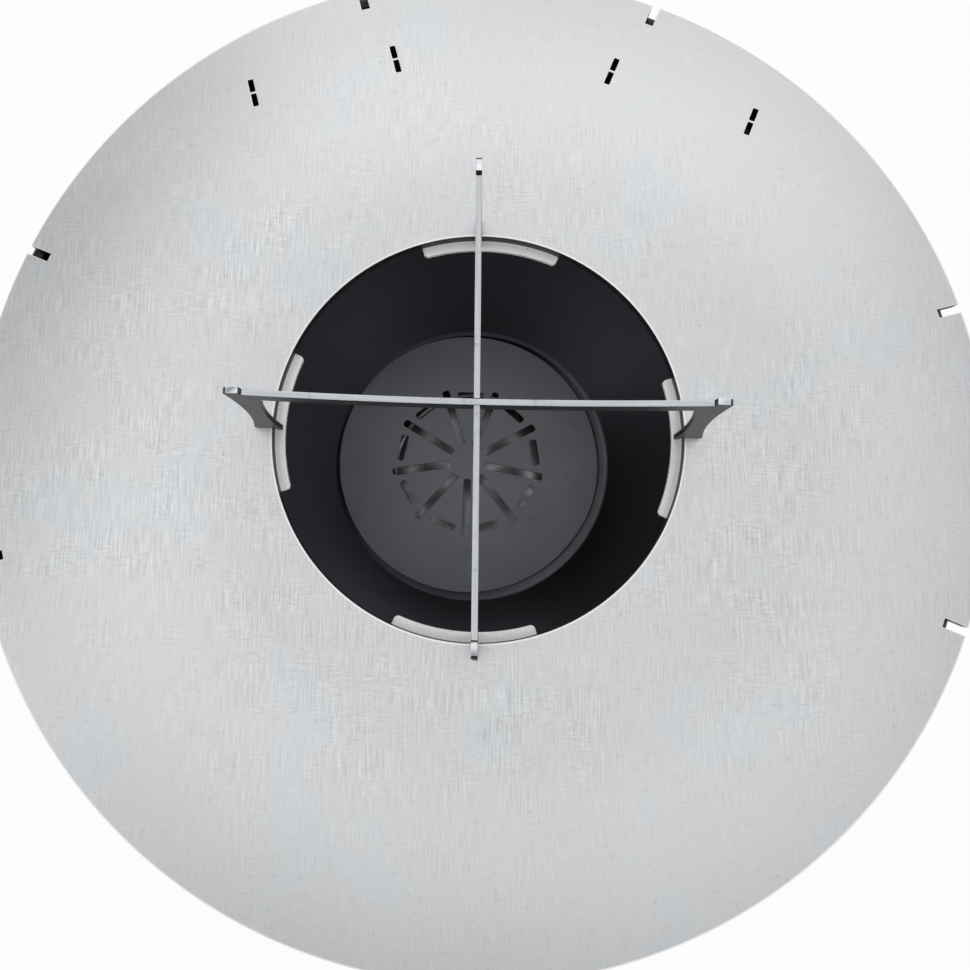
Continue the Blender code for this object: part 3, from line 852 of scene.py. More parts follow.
def cross_edge_finish(cross, top, turn):
    """Cut edge with drag lines, with a painted highlight along its top and painted shade below the beam, at
    the stops' ends and on their inner steps.
    """
    finish = Finish("cut edge", (CROSS_CENTRE.x, CROSS_CENTRE.y, top), turn)
    blotches = finish.patches(0.52, 0.72, 90, detail=4, roughness=0.7)
    lines = finish.uneven((22, 1100, 60), detail=2, shift=3)
    wear = finish.uneven(45, detail=2, shift=8)
    radius = finish.radius()
    height = finish.along((0, 0, 1))
    # Painted shade on the cut edge: darker below the beam's middle, at the stops' chamfered ends and on the
    # stops' inner steps
    beam_middle = -cross.stop_rise - cross.sag - cross.depth / 2
    below = finish.rise(height, beam_middle, beam_middle - 0.004)
    chamfer = cross.reach - cross.stop_chamfer
    outside = finish.rise(radius, chamfer - 0.0002, chamfer + 0.0004)
    step = cross.reach - cross.stop_width
    inside = finish.band(radius, step, (-0.0006, -0.0002), (0.0002, 0.0006))
    painted_edge_shade = 1 - (1 - below) * (1 - outside) * (1 - inside)
    # Painted highlight: the cut edge is lighter near the top of the cross
    painted_top_highlight = finish.rise(height, -0.0030, -0.0015)
    steel = finish.shade(cross.edge_steel, 1 - 0.20 * blotches + lines * 0.5 + wear * 0.12 + painted_top_highlight * 0.40)
    return finish.paint(
        Base_Color=finish.mix(painted_edge_shade, steel, (0.020, 0.020, 0.022)), Metallic=1.0,
        Roughness=0.24 + 0.16 * blotches, Normal=finish.bump(blotches, 0.00008))


def cross_face_finish(cross):
    """Dark rolled face with its scale, a little lighter where it is worn."""
    finish = Finish("rolled face", CROSS_CENTRE)
    clouds = finish.uneven(48, detail=4, roughness=0.6)
    rubs = finish.patches(0.58, 0.74, (90, 90, 26), detail=3, shift=6)
    pits = finish.uneven(700, detail=2, shift=2)
    light = 1 + clouds * 0.5 + pits * 0.25 + rubs * 0.35
    return finish.paint(
        Base_Color=finish.shade(cross.scale_steel, light), Metallic=0.75,
        Roughness=0.46 + clouds * 0.16, Normal=finish.bump(pits, 0.00008))


def enamel_finish(bowl):
    """Smooth black with a faint unevenness, a little dust and a painted band of light along the floor's curve
    on the right side.
    """
    finish = Finish("black enamel", BOWL_CENTRE)
    clouds = finish.uneven(16, detail=3)
    peel = finish.uneven(420, detail=1, shift=5)
    dust = finish.patches(0.60, 0.80, 180, detail=3, roughness=0.7, shift=9)
    # Painted light: a pale band along the floor's curve, fading out towards the left, where the curve catches
    # light
    ash = finish.band(finish.radius(), bowl.floor_radius, (-0.0081, -0.0067), (-0.0013, 0.0022))
    ash = ash * finish.rise(finish.along((0.95, -0.25, 0)), 0.01, 0.12) * (1 + clouds)
    colour = finish.mix(dust * 0.10, finish.shade(bowl.enamel, 1 + clouds * 0.4), (0.05, 0.048, 0.046))
    # Mixes in the painted band of light along the floor's curve
    colour = finish.mix(ash * 0.75, colour, (0.19, 0.192, 0.20))
    return finish.paint(
        Base_Color=colour, Specular_IOR_Level=0.38, Specular_Tint=(0.83, 0.87, 1.0),
        Roughness=0.24 + clouds * 0.08 + dust * 0.10, Normal=finish.bump(peel, 0.00002))


def grate_finish(grate):
    """Dark grey heat-proof coat with soft clouds and small scuffs."""
    finish = Finish("grate coat", GRATE_CENTRE)
    clouds = finish.uneven(15, detail=3, distortion=0.5)
    scuffs = finish.patches(0.62, 0.76, (120, 60, 1), detail=4, roughness=0.7, shift=4)
    grains = finish.uneven(650, detail=1, shift=2)
    dark = finish.patches(0.62, 0.74, 24, detail=3, shift=12)
    light = 1 + clouds * 0.30 + grains * 0.10 + scuffs * 0.12 - dark * 0.12
    return finish.paint(
        Base_Color=finish.shade(grate.coat, light), Specular_IOR_Level=0.15,
        Roughness=0.36 + clouds * 0.12 + scuffs * 0.08, Normal=finish.bump(grains, 0.00003))


def pan_finish(pan):
    """Dark drawn steel with a satin sheen, faint drawing rings and soft blotches."""
    finish = Finish("pan steel", BOWL_CENTRE)
    clouds = finish.uneven(34, detail=3, distortion=0.6)
    blotches = finish.patches(0.50, 0.66, (50, 34, 20), detail=2, shift=6)
    rings = finish.maths("SINE", finish.radius() * 2600) * 0.5
    grains = finish.uneven(600, detail=1, shift=2)
    light = 1 + clouds * 0.22 + blotches * 0.22 + rings * 0.05 + grains * 0.08
    return finish.paint(
        Base_Color=finish.shade(pan.steel, light), Metallic=1.0,
        Roughness=0.24 + clouds * 0.10 - blotches * 0.04, Normal=finish.bump(rings + grains, 0.00001))


def coat_finish(leg):
    """Satin black coating with a fine orange peel."""
    finish = Finish("satin coat", BOWL_CENTRE)
    clouds = finish.uneven(24, detail=3)
    peel = finish.uneven(520, detail=2, shift=5)
    rubs = finish.patches(0.66, 0.80, 70, detail=3, roughness=0.7, shift=9)
    colour = finish.mix(rubs * 0.12, finish.shade(leg.coat, 1 + clouds * 0.4), (0.12, 0.12, 0.12))
    return finish.paint(
        Base_Color=colour, Roughness=0.48 + clouds * 0.12, Normal=finish.bump(peel, 0.00008))


def zinc_finish(fastener):
    """Zinc plating with a faint mottle."""
    finish = Finish("zinc plating", BOWL_CENTRE)
    mottle = finish.uneven(600, detail=3)
    stain = finish.patches(0.58, 0.72, 220, detail=2, shift=4)
    colour = finish.mix(stain * 0.25, finish.shade(fastener.zinc, 1 + mottle * 0.3), (0.50, 0.47, 0.38))
    return finish.paint(Base_Color=colour, Metallic=1.0, Roughness=0.34 + mottle * 0.2)


def weld_finish():
    """Grey weld metal with straw and blue heat tints."""
    finish = Finish("weld metal", PLATE_CENTRE)
    tint = finish.patches(0.42, 0.60, 120, detail=2)
    grain = finish.uneven(900, detail=2, shift=5)
    colour = finish.mix(tint, (0.30, 0.26, 0.20), (0.22, 0.24, 0.30))
    return finish.paint(
        Base_Color=finish.shade(colour, 1 + grain * 0.3), Metallic=1.0, Roughness=0.42 + grain * 0.2,
        Normal=finish.bump(grain, 0.0001))


# Pieces


def rim_outline(plate):
    """The plate's rim with its square cornered notches."""
    half = plate.notch_width / 2
    half_gap = math.asin(half / plate.radius)
    depth = math.sqrt(plate.radius ** 2 - half ** 2) - plate.notch_depth
    sides = (0, RIGHT_ANGLE, math.radians(180))
    leans = (-plate.notch_angle, plate.notch_angle)
    angles = sorted((side + lean) % math.tau for side in sides for lean in leans)
    points = []
    for angle, following in zip(angles, angles[1:] + [angles[0] + math.tau]):
        turn = Matrix.Rotation(angle, 2)
        points += [turn @ Vector((depth, side)) for side in (-half, half)]
        steps = max(2, round(math.degrees(following - angle)))
        points += arc((0, 0), plate.radius, angle + half_gap, following - half_gap, steps)
    return points


def slot_outlines(plate):
    """Four pairs of slots, each in line with the notch on its own side."""
    # Each pair's distance from the rim, and its angle from the far side
    pairs = ((0.0704, math.radians(16.2)), (0.0517, math.radians(37.05)))
    corner = 0.0009
    outlines = []
    for side in (-1, 1):
        lean = RIGHT_ANGLE - side * plate.notch_angle
        for inset, angle in pairs:
            middle = polar(plate.radius - inset, RIGHT_ANGLE - side * angle)
            for step in (-plate.slot_spacing / 2, plate.slot_spacing / 2):
                centre = middle + polar(step, lean)
                outlines.append(slot_outline(plate.slot_length, plate.slot_width, corner, centre, lean))
    return outlines


class FIREPIT_OT_plate(bpy.types.Operator):
    """Build the griddle plate with its opening, notches and slots"""

    bl_idname = "firepit.plate"
    bl_label = "Griddle Plate"

    def execute(self, context):
        plate = context.scene.firepit_plate
        opening = circle(plate.opening_radius, steps=240)
        outlines = [rim_outline(plate), opening] + slot_outlines(plate)
        mesh = plate_mesh(outlines, thickness_of("griddle_plate"), plate.arris, steps=3)
        finishes = (brushed_plate_finish(plate), cut_wall_finish(), arris_finish())
        dress("plate_ring", placed(mesh, PLATE_CENTRE), "plate", "griddle_plate", finishes)
        return {"FINISHED"}


class FIREPIT_OT_ledges(bpy.types.Operator):
    """Build the four ledges under the opening's edge"""

    bl_idname = "firepit.ledges"
    bl_label = "Ledges"

    def execute(self, context):
        plate = context.scene.firepit_plate
        ledge = context.scene.firepit_ledge
        half = ledge.half_angle
        steps = 24
        inner = arc((0, 0), plate.opening_radius - ledge.reach, half, -half, steps)
        outer = arc((0, 0), plate.opening_radius + ledge.back, -half, half, steps)
        corners = [ledge.corner] + [0] * (steps - 1) + [ledge.corner] + [0] * (steps + 1)
        outline = rounded(inner + outer, corners, steps=8, closed=True)
        mesh = plate_mesh([outline], thickness_of("east_ledge"), ledge.arris)
        steel = ledge_finish(ledge)
        for i, side in enumerate(SIDES):
            node = side + "_ledge"
            spot = PLATE_AXIS + Vector((0, 0, middle_of(node).z))
            turned = placed(mesh, spot, math.radians(90 * i))
            dress(side + "_ledge_bar", turned, "plate", node, (steel,) * 3)
        return {"FINISHED"}


def locator_reach(locator):
    """Distance of an upright's outer face from the plate's middle, from the first one's box at 45 degrees."""
    return (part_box("locator_1")[1].x - PLATE_CENTRE.x) * math.sqrt(2) - locator.width / 2


class FIREPIT_OT_locators(bpy.types.Operator):
    """Build the angle brackets that centre the plate in the bowl"""

    bl_idname = "firepit.locators"
    bl_label = "Locators"

    def execute(self, context):
        locator = context.scene.firepit_locator
        low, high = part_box("locator_1")
        outside = locator_reach(locator)
        upright = outside - locator.sheet / 2
        top = -locator.sheet / 2
        corners = [(upright, low.z - high.z), (upright, top), (outside - locator.back, top)]
        path = rounded(corners, [0, locator.sheet, 0], steps=10)
        ledge = context.scene.firepit_ledge
        mesh = plate_mesh([sheet_outline(path, locator.sheet)], locator.width, ledge.arris)
        steel = ledge_finish(ledge)
        spot = PLATE_AXIS + Vector((0, 0, high.z))
        for i in range(4):
            turned = placed(mesh, spot, math.radians(45 + 90 * i), upright=True)
            name = f"locator_{i + 1}"
            dress(name + "_bracket", turned, "plate", name, (steel,) * 3)
        return {"FINISHED"}


def weld_bead(radius, height, leg, half_angle, turn):
    """A rippled fillet of weld under the plate, along an arc; a leg below 0 makes it face inwards."""
    ripple = 0.0024
    ripple_height = 0.07
    section = [Vector((0, 0))] + arc((0, 0), leg, 0, -RIGHT_ANGLE, 6)
    shape = bmesh.new()
    verts = [shape.verts.new((radius + point.x, 0, height + point.y)) for point in section]
    face = shape.faces.new(verts)
    bmesh.ops.rotate(
        shape, verts=verts, cent=(0, 0, 0), matrix=Matrix.Rotation(turn - half_angle, 3, "Z"))
    ripples = max(8, round(half_angle * radius * 2 / ripple))
    bmesh.ops.spin(
        shape, geom=[face] + list(face.edges) + verts, cent=(0, 0, 0), axis=(0, 0, 1), dvec=(0, 0, 0),
        angle=half_angle * 2, steps=ripples * 2, use_merge=False, use_duplicate=False)
    for vert in shape.verts:
        out = Vector((math.hypot(vert.co.x, vert.co.y) - radius, vert.co.z - height))
        along = (math.atan2(vert.co.y, vert.co.x) - turn) * radius
        swell = 1 - ripple_height + ripple_height * math.cos(math.tau * along / ripple)
        direction = Vector((vert.co.x, vert.co.y)).normalized()
        flat = direction * (radius + out.x * swell)
        vert.co = (flat.x, flat.y, height + out.y * swell)
    bmesh.ops.recalc_face_normals(shape, faces=shape.faces)
    mesh = finished_mesh(shape, "bead")
    mesh.shade_smooth()
    mesh.set_sharp_from_angle(angle=CUT_CREASE)
    mesh.transform(Matrix.Translation(PLATE_AXIS))
    return mesh


class FIREPIT_OT_welds(bpy.types.Operator):
    """Build the weld beads that hold the ledges and the locators under the plate"""

    bl_idname = "firepit.welds"
    bl_label = "Welds"

    def execute(self, context):
        plate = context.scene.firepit_plate
        ledge = context.scene.firepit_ledge
        locator = context.scene.firepit_locator
        metal = weld_finish()
        back = plate.opening_radius + ledge.back
        leg = 0.0032
        half_angle = math.radians(4.5)
        for i, side in enumerate(SIDES):
            for place, lean in (("first", -0.6), ("second", 0.6)):
                turn = math.radians(90 * i) + ledge.half_angle * lean
                mesh = weld_bead(back, PLATE_UNDERSIDE, leg, half_angle, turn)
                dress(f"{side}_ledge_{place}_bead", mesh, "plate", None, (metal,))
        inner = locator_reach(locator) - locator.back
        leg = -0.0030
        half_angle = math.radians(2.4)
        for i in range(4):
            turn = math.radians(45 + 90 * i)
            mesh = weld_bead(inner, PLATE_UNDERSIDE, leg, half_angle, turn)
            dress(f"locator_{i + 1}_bead", mesh, "plate", None, (metal,))
        return {"FINISHED"}


def cross_half_outline(cross, foot, top, opening_radius, slot_from_below):
    """A cross half as cut from plate, with a slot of half the beam's depth at its middle."""
    stop_start = cross.reach - cross.stop_width
    curve = (stop_start ** 2 + cross.sag ** 2) / (2 * cross.sag)
    hollow = top - cross.stop_rise - cross.sag
    lug_outside = opening_radius - cross.lug_play
    lug_inside = lug_outside - cross.lug_width
    lug_base = foot - cross.lug_drop
    flare = top - cross.flare_start
    lap = cross.sheet / 2 + cross.lap_clearance
    steps = 24

    def beam(distance):
        """Height of the beam's top edge at a distance from the middle."""
        return hollow + curve - math.sqrt(curve ** 2 - distance ** 2)

    def inside(height):
        """Distance of a leg's inner edge from the middle at a height."""
        rise = height - lug_base
        return lug_inside - cross.inside_arc + math.sqrt(cross.inside_arc ** 2 - rise ** 2)

    def outside(height):
        """Distance of a leg's outer edge from the middle at a height."""
        below = max(flare - height, 0)
        return cross.reach + cross.outside_arc - math.sqrt(cross.outside_arc ** 2 - below ** 2)

    # Where the inner edge meets the beam's lower edge, found by closing in on it
    corner = inside(foot)
    for _ in range(20):
        corner = inside(beam(corner) - cross.depth)
    points = [Vector((x, beam(x))) for x in spread(lap, stop_start, steps)]
    points += [Vector((stop_start, top)), Vector((cross.reach - cross.stop_chamfer, top))]
    points.append(Vector((cross.reach, top - cross.stop_chamfer)))
    points += [Vector((outside(z), z)) for z in spread(flare, foot + cross.foot_corner, steps)]
    points += [Vector((outside(foot) - cross.foot_corner, foot)), Vector((lug_outside, foot))]
    points.append(Vector((lug_outside, lug_base)))
    points += [Vector((inside(z), z)) for z in spread(lug_base, beam(corner) - cross.depth, steps)]
    points += [Vector((x, beam(x) - cross.depth)) for x in spread(corner, lap, steps)[1:]]
    mirrored = [Vector((-point.x, point.y)) for point in reversed(points)]
    lap_height = beam(lap) - cross.depth / 2
    if slot_from_below:
        lap_height += cross.lap_clearance / 2
        return points + [Vector((lap, lap_height)), Vector((-lap, lap_height))] + mirrored
    lap_height -= cross.lap_clearance / 2
    return points + mirrored + [Vector((-lap, lap_height)), Vector((lap, lap_height))]


class FIREPIT_OT_cross(bpy.types.Operator):
    """Build the two lapped halves of the pot cross"""

    bl_idname = "firepit.cross"
    bl_label = "Pot Cross"

    def execute(self, context):
        cross = context.scene.firepit_cross
        opening_radius = context.scene.firepit_plate.opening_radius
        face = cross_face_finish(cross)
        halves = (
            ("upper", True, cross.upper_turn),
            ("lower", False, RIGHT_ANGLE + cross.lower_turn),
        )
        for name, slot_from_below, turn in halves:
            node = f"cross_{name}_half"
            low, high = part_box(node)
            foot = low.z + cross.lug_drop
            outline = cross_half_outline(cross, foot, high.z, opening_radius, slot_from_below)
            mesh = plate_mesh([outline], cross.sheet, cross.arris)
            stood = placed(mesh, CROSS_AXIS, turn, upright=True)
            edge = cross_edge_finish(cross, high.z, turn)
            dress(f"cross_{name}_plate", stood, f"cross_{name}", node, (face, edge, edge))
        return {"FINISHED"}


def bowl_wall(bowl):
    """The straight wall's middle line: its lower end and its upper end."""
    low = Vector((bowl.floor_radius, BOWL_FLOOR + bowl.sheet / 2))
    collar = radius_of("fire_bowl") - bowl.sheet / 2 - bowl.curl * 2
    return low, Vector((collar, RIM_TOP - bowl.collar_height))


def bowl_path(bowl):
    """Middle line of the bowl's sheet, from its mouth up to the curled rim."""
    low, high = bowl_wall(bowl)
    curl_height = RIM_TOP - bowl.sheet / 2 - bowl.curl
    corners = [(bowl.mouth_radius, low.y), low, high, (high.x, curl_height)]
    curve_steps = 14
    path = rounded(corners, [0, bowl.floor_curve, bowl.shoulder_curve, 0], curve_steps)
    start = math.radians(180)
    curl = arc((high.x + bowl.curl, curl_height), bowl.curl, start, start - bowl.curl_sweep, 16)
    # The wall runs from the last point of the floor's curve to the first of the shoulder's
    wall_end = curve_steps + 2
    straight = [path[wall_end - 1].lerp(path[wall_end], part) for part in spread(0, 1, 12)]
    return path[:wall_end - 1] + straight + path[wall_end + 1:] + curl[1:]


def pad_frame(context):
    """The middle of a leg's pad on the wall's middle line, the way up the wall and the way out of it."""
    low, high = bowl_wall(context.scene.firepit_bowl)
    along = (high - low).normalized()
    return low + along * context.scene.firepit_leg.pad_rise, along, Vector((along.y, -along.x))


def bolt_places(context):
    middle, along, _ = pad_frame(context)
    half = along * context.scene.firepit_fastener.spacing / 2
    return {"upper": middle + half, "lower": middle - half}


def leg_turns():
    return [math.radians(-90 + 120 * i) for i in range(3)]


def bolt_rods(context):
    """One rod for each bolt's hole, across the wall and the leg's pad."""
    fastener = context.scene.firepit_fastener
    radius = fastener.bolt_radius + fastener.clearance
    along = pad_frame(context)[1]
    tilt = Matrix.Rotation(-math.atan2(along.y, along.x), 4, "Y")
    shape = bmesh.new()
    for turn in leg_turns():
        around = Matrix.Rotation(turn, 4, "Z")
        for spot in bolt_places(context).values():
            middle = BOWL_AXIS + around @ Vector((spot.x, 0, spot.y))
            bmesh.ops.create_cone(
                shape, cap_ends=True, segments=32, depth=0.04, radius1=radius, radius2=radius,
                matrix=Matrix.Translation(middle) @ around @ tilt)
    return finished_mesh(shape, "rods")


class FIREPIT_OT_bowl(bpy.types.Operator):
    """Build the spun fire bowl"""

    bl_idname = "firepit.bowl"
    bl_label = "Fire Bowl"

    def execute(self, context):
        bowl = context.scene.firepit_bowl
        mesh = spun_mesh(sheet_outline(bowl_path(bowl), bowl.sheet), steps=192)
        mesh = drilled(placed(mesh, BOWL_AXIS), bolt_rods(context))
        mesh.set_sharp_from_angle(angle=SPUN_CREASE)
        dress("bowl_shell", mesh, "base", "fire_bowl", (enamel_finish(bowl),))
        return {"FINISHED"}


class FIREPIT_OT_grate(bpy.types.Operator):
    """Build the fire grate with its spoke slots and crosswise slots"""

    bl_idname = "firepit.grate"
    bl_label = "Fire Grate"

    def execute(self, context):
        grate = context.scene.firepit_grate
        outlines = [circle(radius_of("fire_grate"), steps=180)]
        step = math.tau / grate.spokes
        length = grate.spoke_end - grate.spoke_start
        for i in range(grate.spokes):
            spoke = -RIGHT_ANGLE + grate.turn + step * i
            middle = polar((grate.spoke_start + grate.spoke_end) / 2, spoke)
            outlines.append(slot_outline(length, grate.slot_width, grate.slot_corner, middle, spoke))
            between = spoke + step / 2
            middle = polar(grate.crosswise_radius, between)
            across = between + RIGHT_ANGLE
            outlines.append(
                slot_outline(grate.crosswise_length, grate.slot_width, grate.slot_corner, middle, across))
        mesh = plate_mesh(outlines, thickness_of("fire_grate"), grate.arris)
        coat = grate_finish(grate)
        dress("grate_disc", placed(mesh, GRATE_CENTRE), "grate", "fire_grate", (coat,) * 3)
        return {"FINISHED"}


class FIREPIT_OT_ash_pan(bpy.types.Operator):
    """Build the dished ash pan"""

    bl_idname = "firepit.ash_pan"
    bl_label = "Ash Pan"

    def execute(self, context):
        pan = context.scene.firepit_pan
        bowl = context.scene.firepit_bowl
        low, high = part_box("ash_pan")
        side = bowl.mouth_radius - pan.play - pan.sheet / 2
        bottom = low.z + pan.sheet / 2
        top = high.z - pan.sheet / 2
        edge = bowl.mouth_radius + pan.flange
        corners = [(0, bottom), (side - pan.taper, bottom), (side, top), (edge, top)]
        path = rounded(corners, [0, pan.curve, pan.sheet * 2, 0], steps=10)
        outline = sheet_outline(path, pan.sheet)
        outline[0].x = 0
        outline[-1].x = 0
        mesh = spun_mesh(outline, steps=144, closed=False)
        finishes = (pan_finish(pan),)
        dress("ash_dish", placed(mesh, BOWL_AXIS), "ash_pan", "ash_pan", finishes)
        return {"FINISHED"}


class FIREPIT_OT_legs(bpy.types.Operator):
    """Build the three bent legs"""

    bl_idname = "firepit.legs"
    bl_label = "Legs"

    def execute(self, context):
        leg = context.scene.firepit_leg
        bowl = context.scene.firepit_bowl
        middle, along, outward = pad_frame(context)
        middle = middle + outward * (bowl.sheet / 2 + leg.gap + leg.thickness / 2)
        half = along * leg.pad_length / 2
        foot = Vector((leg.foot_radius, leg.thickness / 2))
        toe = foot + Vector((leg.foot_length, 0))
        path = rounded([middle + half, middle - half, foot, toe], [0, leg.bend, leg.foot_bend, 0], steps=16)
        mesh = plate_mesh([sheet_outline(path, leg.thickness)], leg.width, leg.arris, steps=3)
        coat = coat_finish(leg)
        for i, turn in enumerate(leg_turns()):
            stood = placed(mesh, BOWL_AXIS, turn, upright=True)
            strip = drilled(stood, bolt_rods(context))
            name = f"leg_{i + 1}"
            dress(name + "_strip", strip, "base", name, (coat,) * 3)
        return {"FINISHED"}


def bolt_profile(context):
    """Half section of a domed bolt with a ridged shank, its head's underside at zero height."""
    fastener = context.scene.firepit_fastener
    leg = context.scene.firepit_leg
    radius = fastener.bolt_radius
    pitch = fastener.pitch
    dome = (fastener.head_radius ** 2 + fastener.head_height ** 2) / (2 * fastener.head_height)
    edge = math.asin(fastener.head_radius / dome)
    head = arc((0, fastener.head_height - dome), dome, RIGHT_ANGLE, RIGHT_ANGLE - edge, 12)
    head[0].x = 0
    smooth_length = fastener.head_gap + context.scene.firepit_bowl.sheet + leg.thickness
    length = smooth_length + leg.gap * 3
    length += fastener.washer_thickness + fastener.nut_height + fastener.bolt_end
    ridges = math.floor((length - smooth_length) / pitch)
    ridge_height = pitch * 0.55
    root = radius - ridge_height
    points = head + [Vector((radius, 0)), Vector((radius, -smooth_length))]
    for i in range(ridges):
        height = -smooth_length - pitch * i
        points += [Vector((root, height - pitch / 2)), Vector((radius, height - pitch))]
    return points + [Vector((root, -length)), Vector((0, -length))]


class FIREPIT_OT_fasteners(bpy.types.Operator):
    """Build the bolts, washers and nuts of the legs"""

    bl_idname = "firepit.fasteners"
    bl_label = "Fasteners"

    def execute(self, context):
        fastener = context.scene.firepit_fastener
        leg = context.scene.firepit_leg
        sheet = context.scene.firepit_bowl.sheet
        bore = circle(fastener.bolt_radius + fastener.clearance, steps=32)
        washer = [circle(fastener.washer_radius, steps=48), bore]
        nut = [circle(fastener.nut_radius, steps=6), bore]
        under_pad = -(sheet / 2 + leg.gap + leg.thickness + leg.gap)
        nut_height = under_pad - fastener.washer_thickness - leg.gap - fastener.nut_height / 2
        washer_arris = 0.0002
        nut_arris = 0.0006
        kinds = {
            "bolt": (
                spun_mesh(bolt_profile(context), steps=32, closed=False), sheet / 2 + fastener.head_gap),
            "washer": (
                plate_mesh(washer, fastener.washer_thickness, washer_arris),
                under_pad - fastener.washer_thickness / 2),
            "nut": (plate_mesh(nut, fastener.nut_height, nut_arris), nut_height),
        }
        zinc = zinc_finish(fastener)
        _, along, outward = pad_frame(context)
        tilt = math.atan2(along.y, along.x)
        for i, turn in enumerate(leg_turns()):
            around = Matrix.Rotation(turn, 3, "Z")
            for level, spot in bolt_places(context).items():
                for kind, (mesh, height) in kinds.items():
                    centre = spot - outward * height
                    middle = around @ Vector((centre.x, 0, centre.y)) + BOWL_AXIS
                    node = f"leg_{kind}_{i + 1}_{level}"
                    turned = placed(mesh, middle, turn, tilt)
                    dress(node.replace("leg_", "pad_"), turned, "base", node, (zinc,) * 3)
        return {"FINISHED"}


# Stage


# How far the floor is lifted towards white, and the radius of the dome of light
FLOOR_LIFT = 0.93
SKY_RADIUS = 4.0


def shown_to_eye(finish):
    """1 for rays that come from the camera, straight or by a mirror or glass, and 0 for the rest."""
    path = "ShaderNodeLightPath"
    straight = finish.node(path, {}, {}, "Is Camera Ray")
    mirrored = finish.node(path, {}, {}, "Is Glossy Ray")
    through = finish.node(path, {}, {}, "Is Transmission Ray")
    return finish.maths("MINIMUM", straight + mirrored + through, 1.0)


def floor_finish(stage):
    """Pale floor that keeps the object's shadow and is lifted towards white for the eye."""
    finish = Finish("pale floor")
    grain = finish.uneven(3, detail=2)
    finish.paint(Base_Color=finish.shade(stage.floor_colour, 1 + grain * 0.01), Roughness=0.9)
    glow = finish.node("ShaderNodeEmission", {}, {"Color": (1, 1, 1), "Strength": 1.0})
    mixed = finish.node(
        "ShaderNodeMixShader", {},
        {0: shown_to_eye(finish) * FLOOR_LIFT, 1: Reading(finish, finish.surface.outputs[0]), 2: glow})
    output = finish.tree.nodes["Material Output"]
    finish.tree.links.new(mixed.socket, output.inputs["Surface"])
    return finish.material


def sky_dome(stage):
    """A dome of light that the camera doesn't see, darker at the near side, the left and the right."""
    shape = bmesh.new()
    bmesh.ops.create_icosphere(shape, subdivisions=4, radius=SKY_RADIUS)
    mesh = finished_mesh(shape, "sky dome")
    finish = Finish("sky dome")

    def dusk(direction, low, high):
        return finish.rise(finish.along(direction), low * SKY_RADIUS, high * SKY_RADIUS)

    high_up = dusk((0, 0, 1), 0.40, 0.62)
    near = dusk((0, -1, 0), 0.35, 0.75) * high_up
    left = dusk((-0.92, 0.40, 0), 0.46, 0.68) * high_up
    right = dusk((1, 0, 0), 0.38, 0.72) * high_up
    light = stage.sky * (1 - near * stage.near_dusk) * (1 - left * stage.left_dusk)
    light = light * (1 - right * stage.right_dusk)
    mesh.materials.append(finish.paint(
        Base_Color=(0, 0, 0), Roughness=1.0, Emission_Strength=1.0,
        Emission_Color=finish.shade((1, 1, 1), light)))
    dome = linked("sky dome", mesh)
    dome.visible_camera = False


def soft_lamp(name, place, target, size, power):
    lamp = bpy.data.lights.new(name, "AREA")
    lamp.shape = "RECTANGLE"
    lamp.size, lamp.size_y = size
    lamp.energy = power
    holder = linked(name, lamp)
    holder.location = place
    holder.rotation_euler = (Vector(target) - Vector(place)).to_track_quat("-Z", "Y").to_euler()


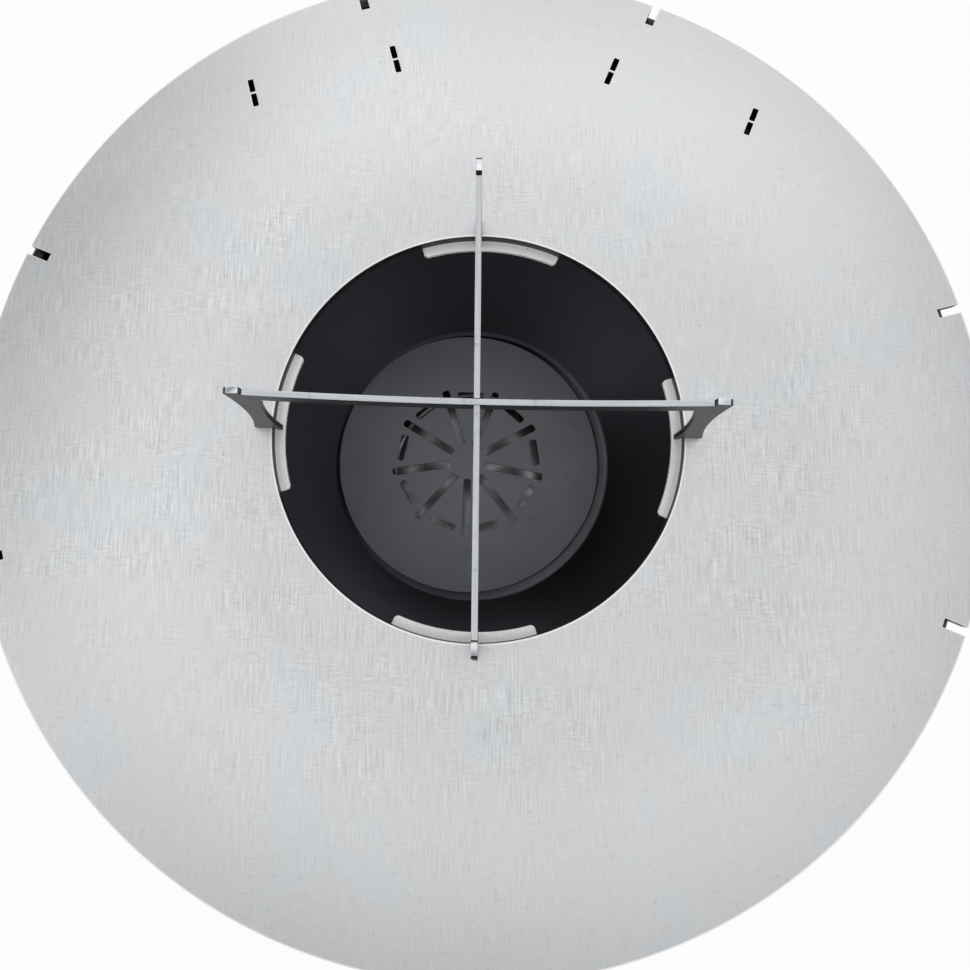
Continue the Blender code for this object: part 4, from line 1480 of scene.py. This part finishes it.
class FIREPIT_OT_stage(bpy.types.Operator):
    """Set the floor, the light and the camera"""

    bl_idname = "firepit.stage"
    bl_label = "Stage"

    def execute(self, context):
        stage = context.scene.firepit_stage
        shape = bmesh.new()
        bmesh.ops.create_grid(shape, x_segments=8, y_segments=8, size=6)
        mesh = finished_mesh(shape, "floor")
        mesh.materials.append(floor_finish(stage))
        linked("floor", mesh)

        sky_dome(stage)
        soft_lamp("far lamp", (0.2, 2.2, 2.4), (0, 0, 0.4), (3.0, 1.5), stage.lamp_power)

        world = bpy.data.worlds.new("white background")
        world.use_nodes = True
        sky = world.node_tree.nodes["Background"]
        sky.inputs["Color"].default_value = (1, 1, 1, 1)
        context.scene.world = world

        view = bpy.data.cameras.new("view from above")
        view.lens = stage.focal_length
        view.sensor_width = 36
        view.shift_x, view.shift_y = stage.shift
        view.clip_start = 0.01
        camera = linked("view from above", view)
        camera.location = stage.camera_place
        camera.rotation_euler = stage.camera_turn
        context.scene.camera = camera
        context.scene.view_settings.view_transform = "Standard"
        return {"FINISHED"}


# Panel


STEPS = (
    "plate", "ledges", "locators", "welds", "cross", "bowl", "grate", "ash_pan", "legs", "fasteners",
    "stage")
GROUPS = {
    "firepit_plate": PlateSettings,
    "firepit_ledge": LedgeSettings,
    "firepit_locator": LocatorSettings,
    "firepit_cross": CrossSettings,
    "firepit_bowl": BowlSettings,
    "firepit_grate": GrateSettings,
    "firepit_pan": PanSettings,
    "firepit_leg": LegSettings,
    "firepit_fastener": FastenerSettings,
    "firepit_stage": StageSettings,
}


class FIREPIT_PT_panel(bpy.types.Panel):
    """Sizes, colours and buttons of the fire pit grill"""

    bl_idname = "FIREPIT_PT_panel"
    bl_label = "Fire Pit Grill"
    bl_space_type = "VIEW_3D"
    bl_region_type = "UI"
    bl_category = "Fire Pit"

    def draw(self, context):
        for step in STEPS:
            self.layout.operator("firepit." + step)
        for key, group in GROUPS.items():
            box = self.layout.box()
            box.label(text=key.replace("firepit_", "").title())
            for setting in group.__annotations__:
                box.prop(getattr(context.scene, key), setting)


OPERATORS = (
    FIREPIT_OT_plate,
    FIREPIT_OT_ledges,
    FIREPIT_OT_locators,
    FIREPIT_OT_welds,
    FIREPIT_OT_cross,
    FIREPIT_OT_bowl,
    FIREPIT_OT_grate,
    FIREPIT_OT_ash_pan,
    FIREPIT_OT_legs,
    FIREPIT_OT_fasteners,
    FIREPIT_OT_stage,
)


def register():
    for group in (*GROUPS.values(), *OPERATORS, FIREPIT_PT_panel):
        bpy.utils.register_class(group)
    for key, group in GROUPS.items():
        setattr(bpy.types.Scene, key, PointerProperty(type=group))


def unregister():
    for key in GROUPS:
        delattr(bpy.types.Scene, key)
    for group in (FIREPIT_PT_panel, *OPERATORS[::-1], *GROUPS.values()):
        bpy.utils.unregister_class(group)


def main():
    register()
    for step in STEPS:
        getattr(bpy.ops.firepit, step)()


if __name__ == "__main__":
    main()
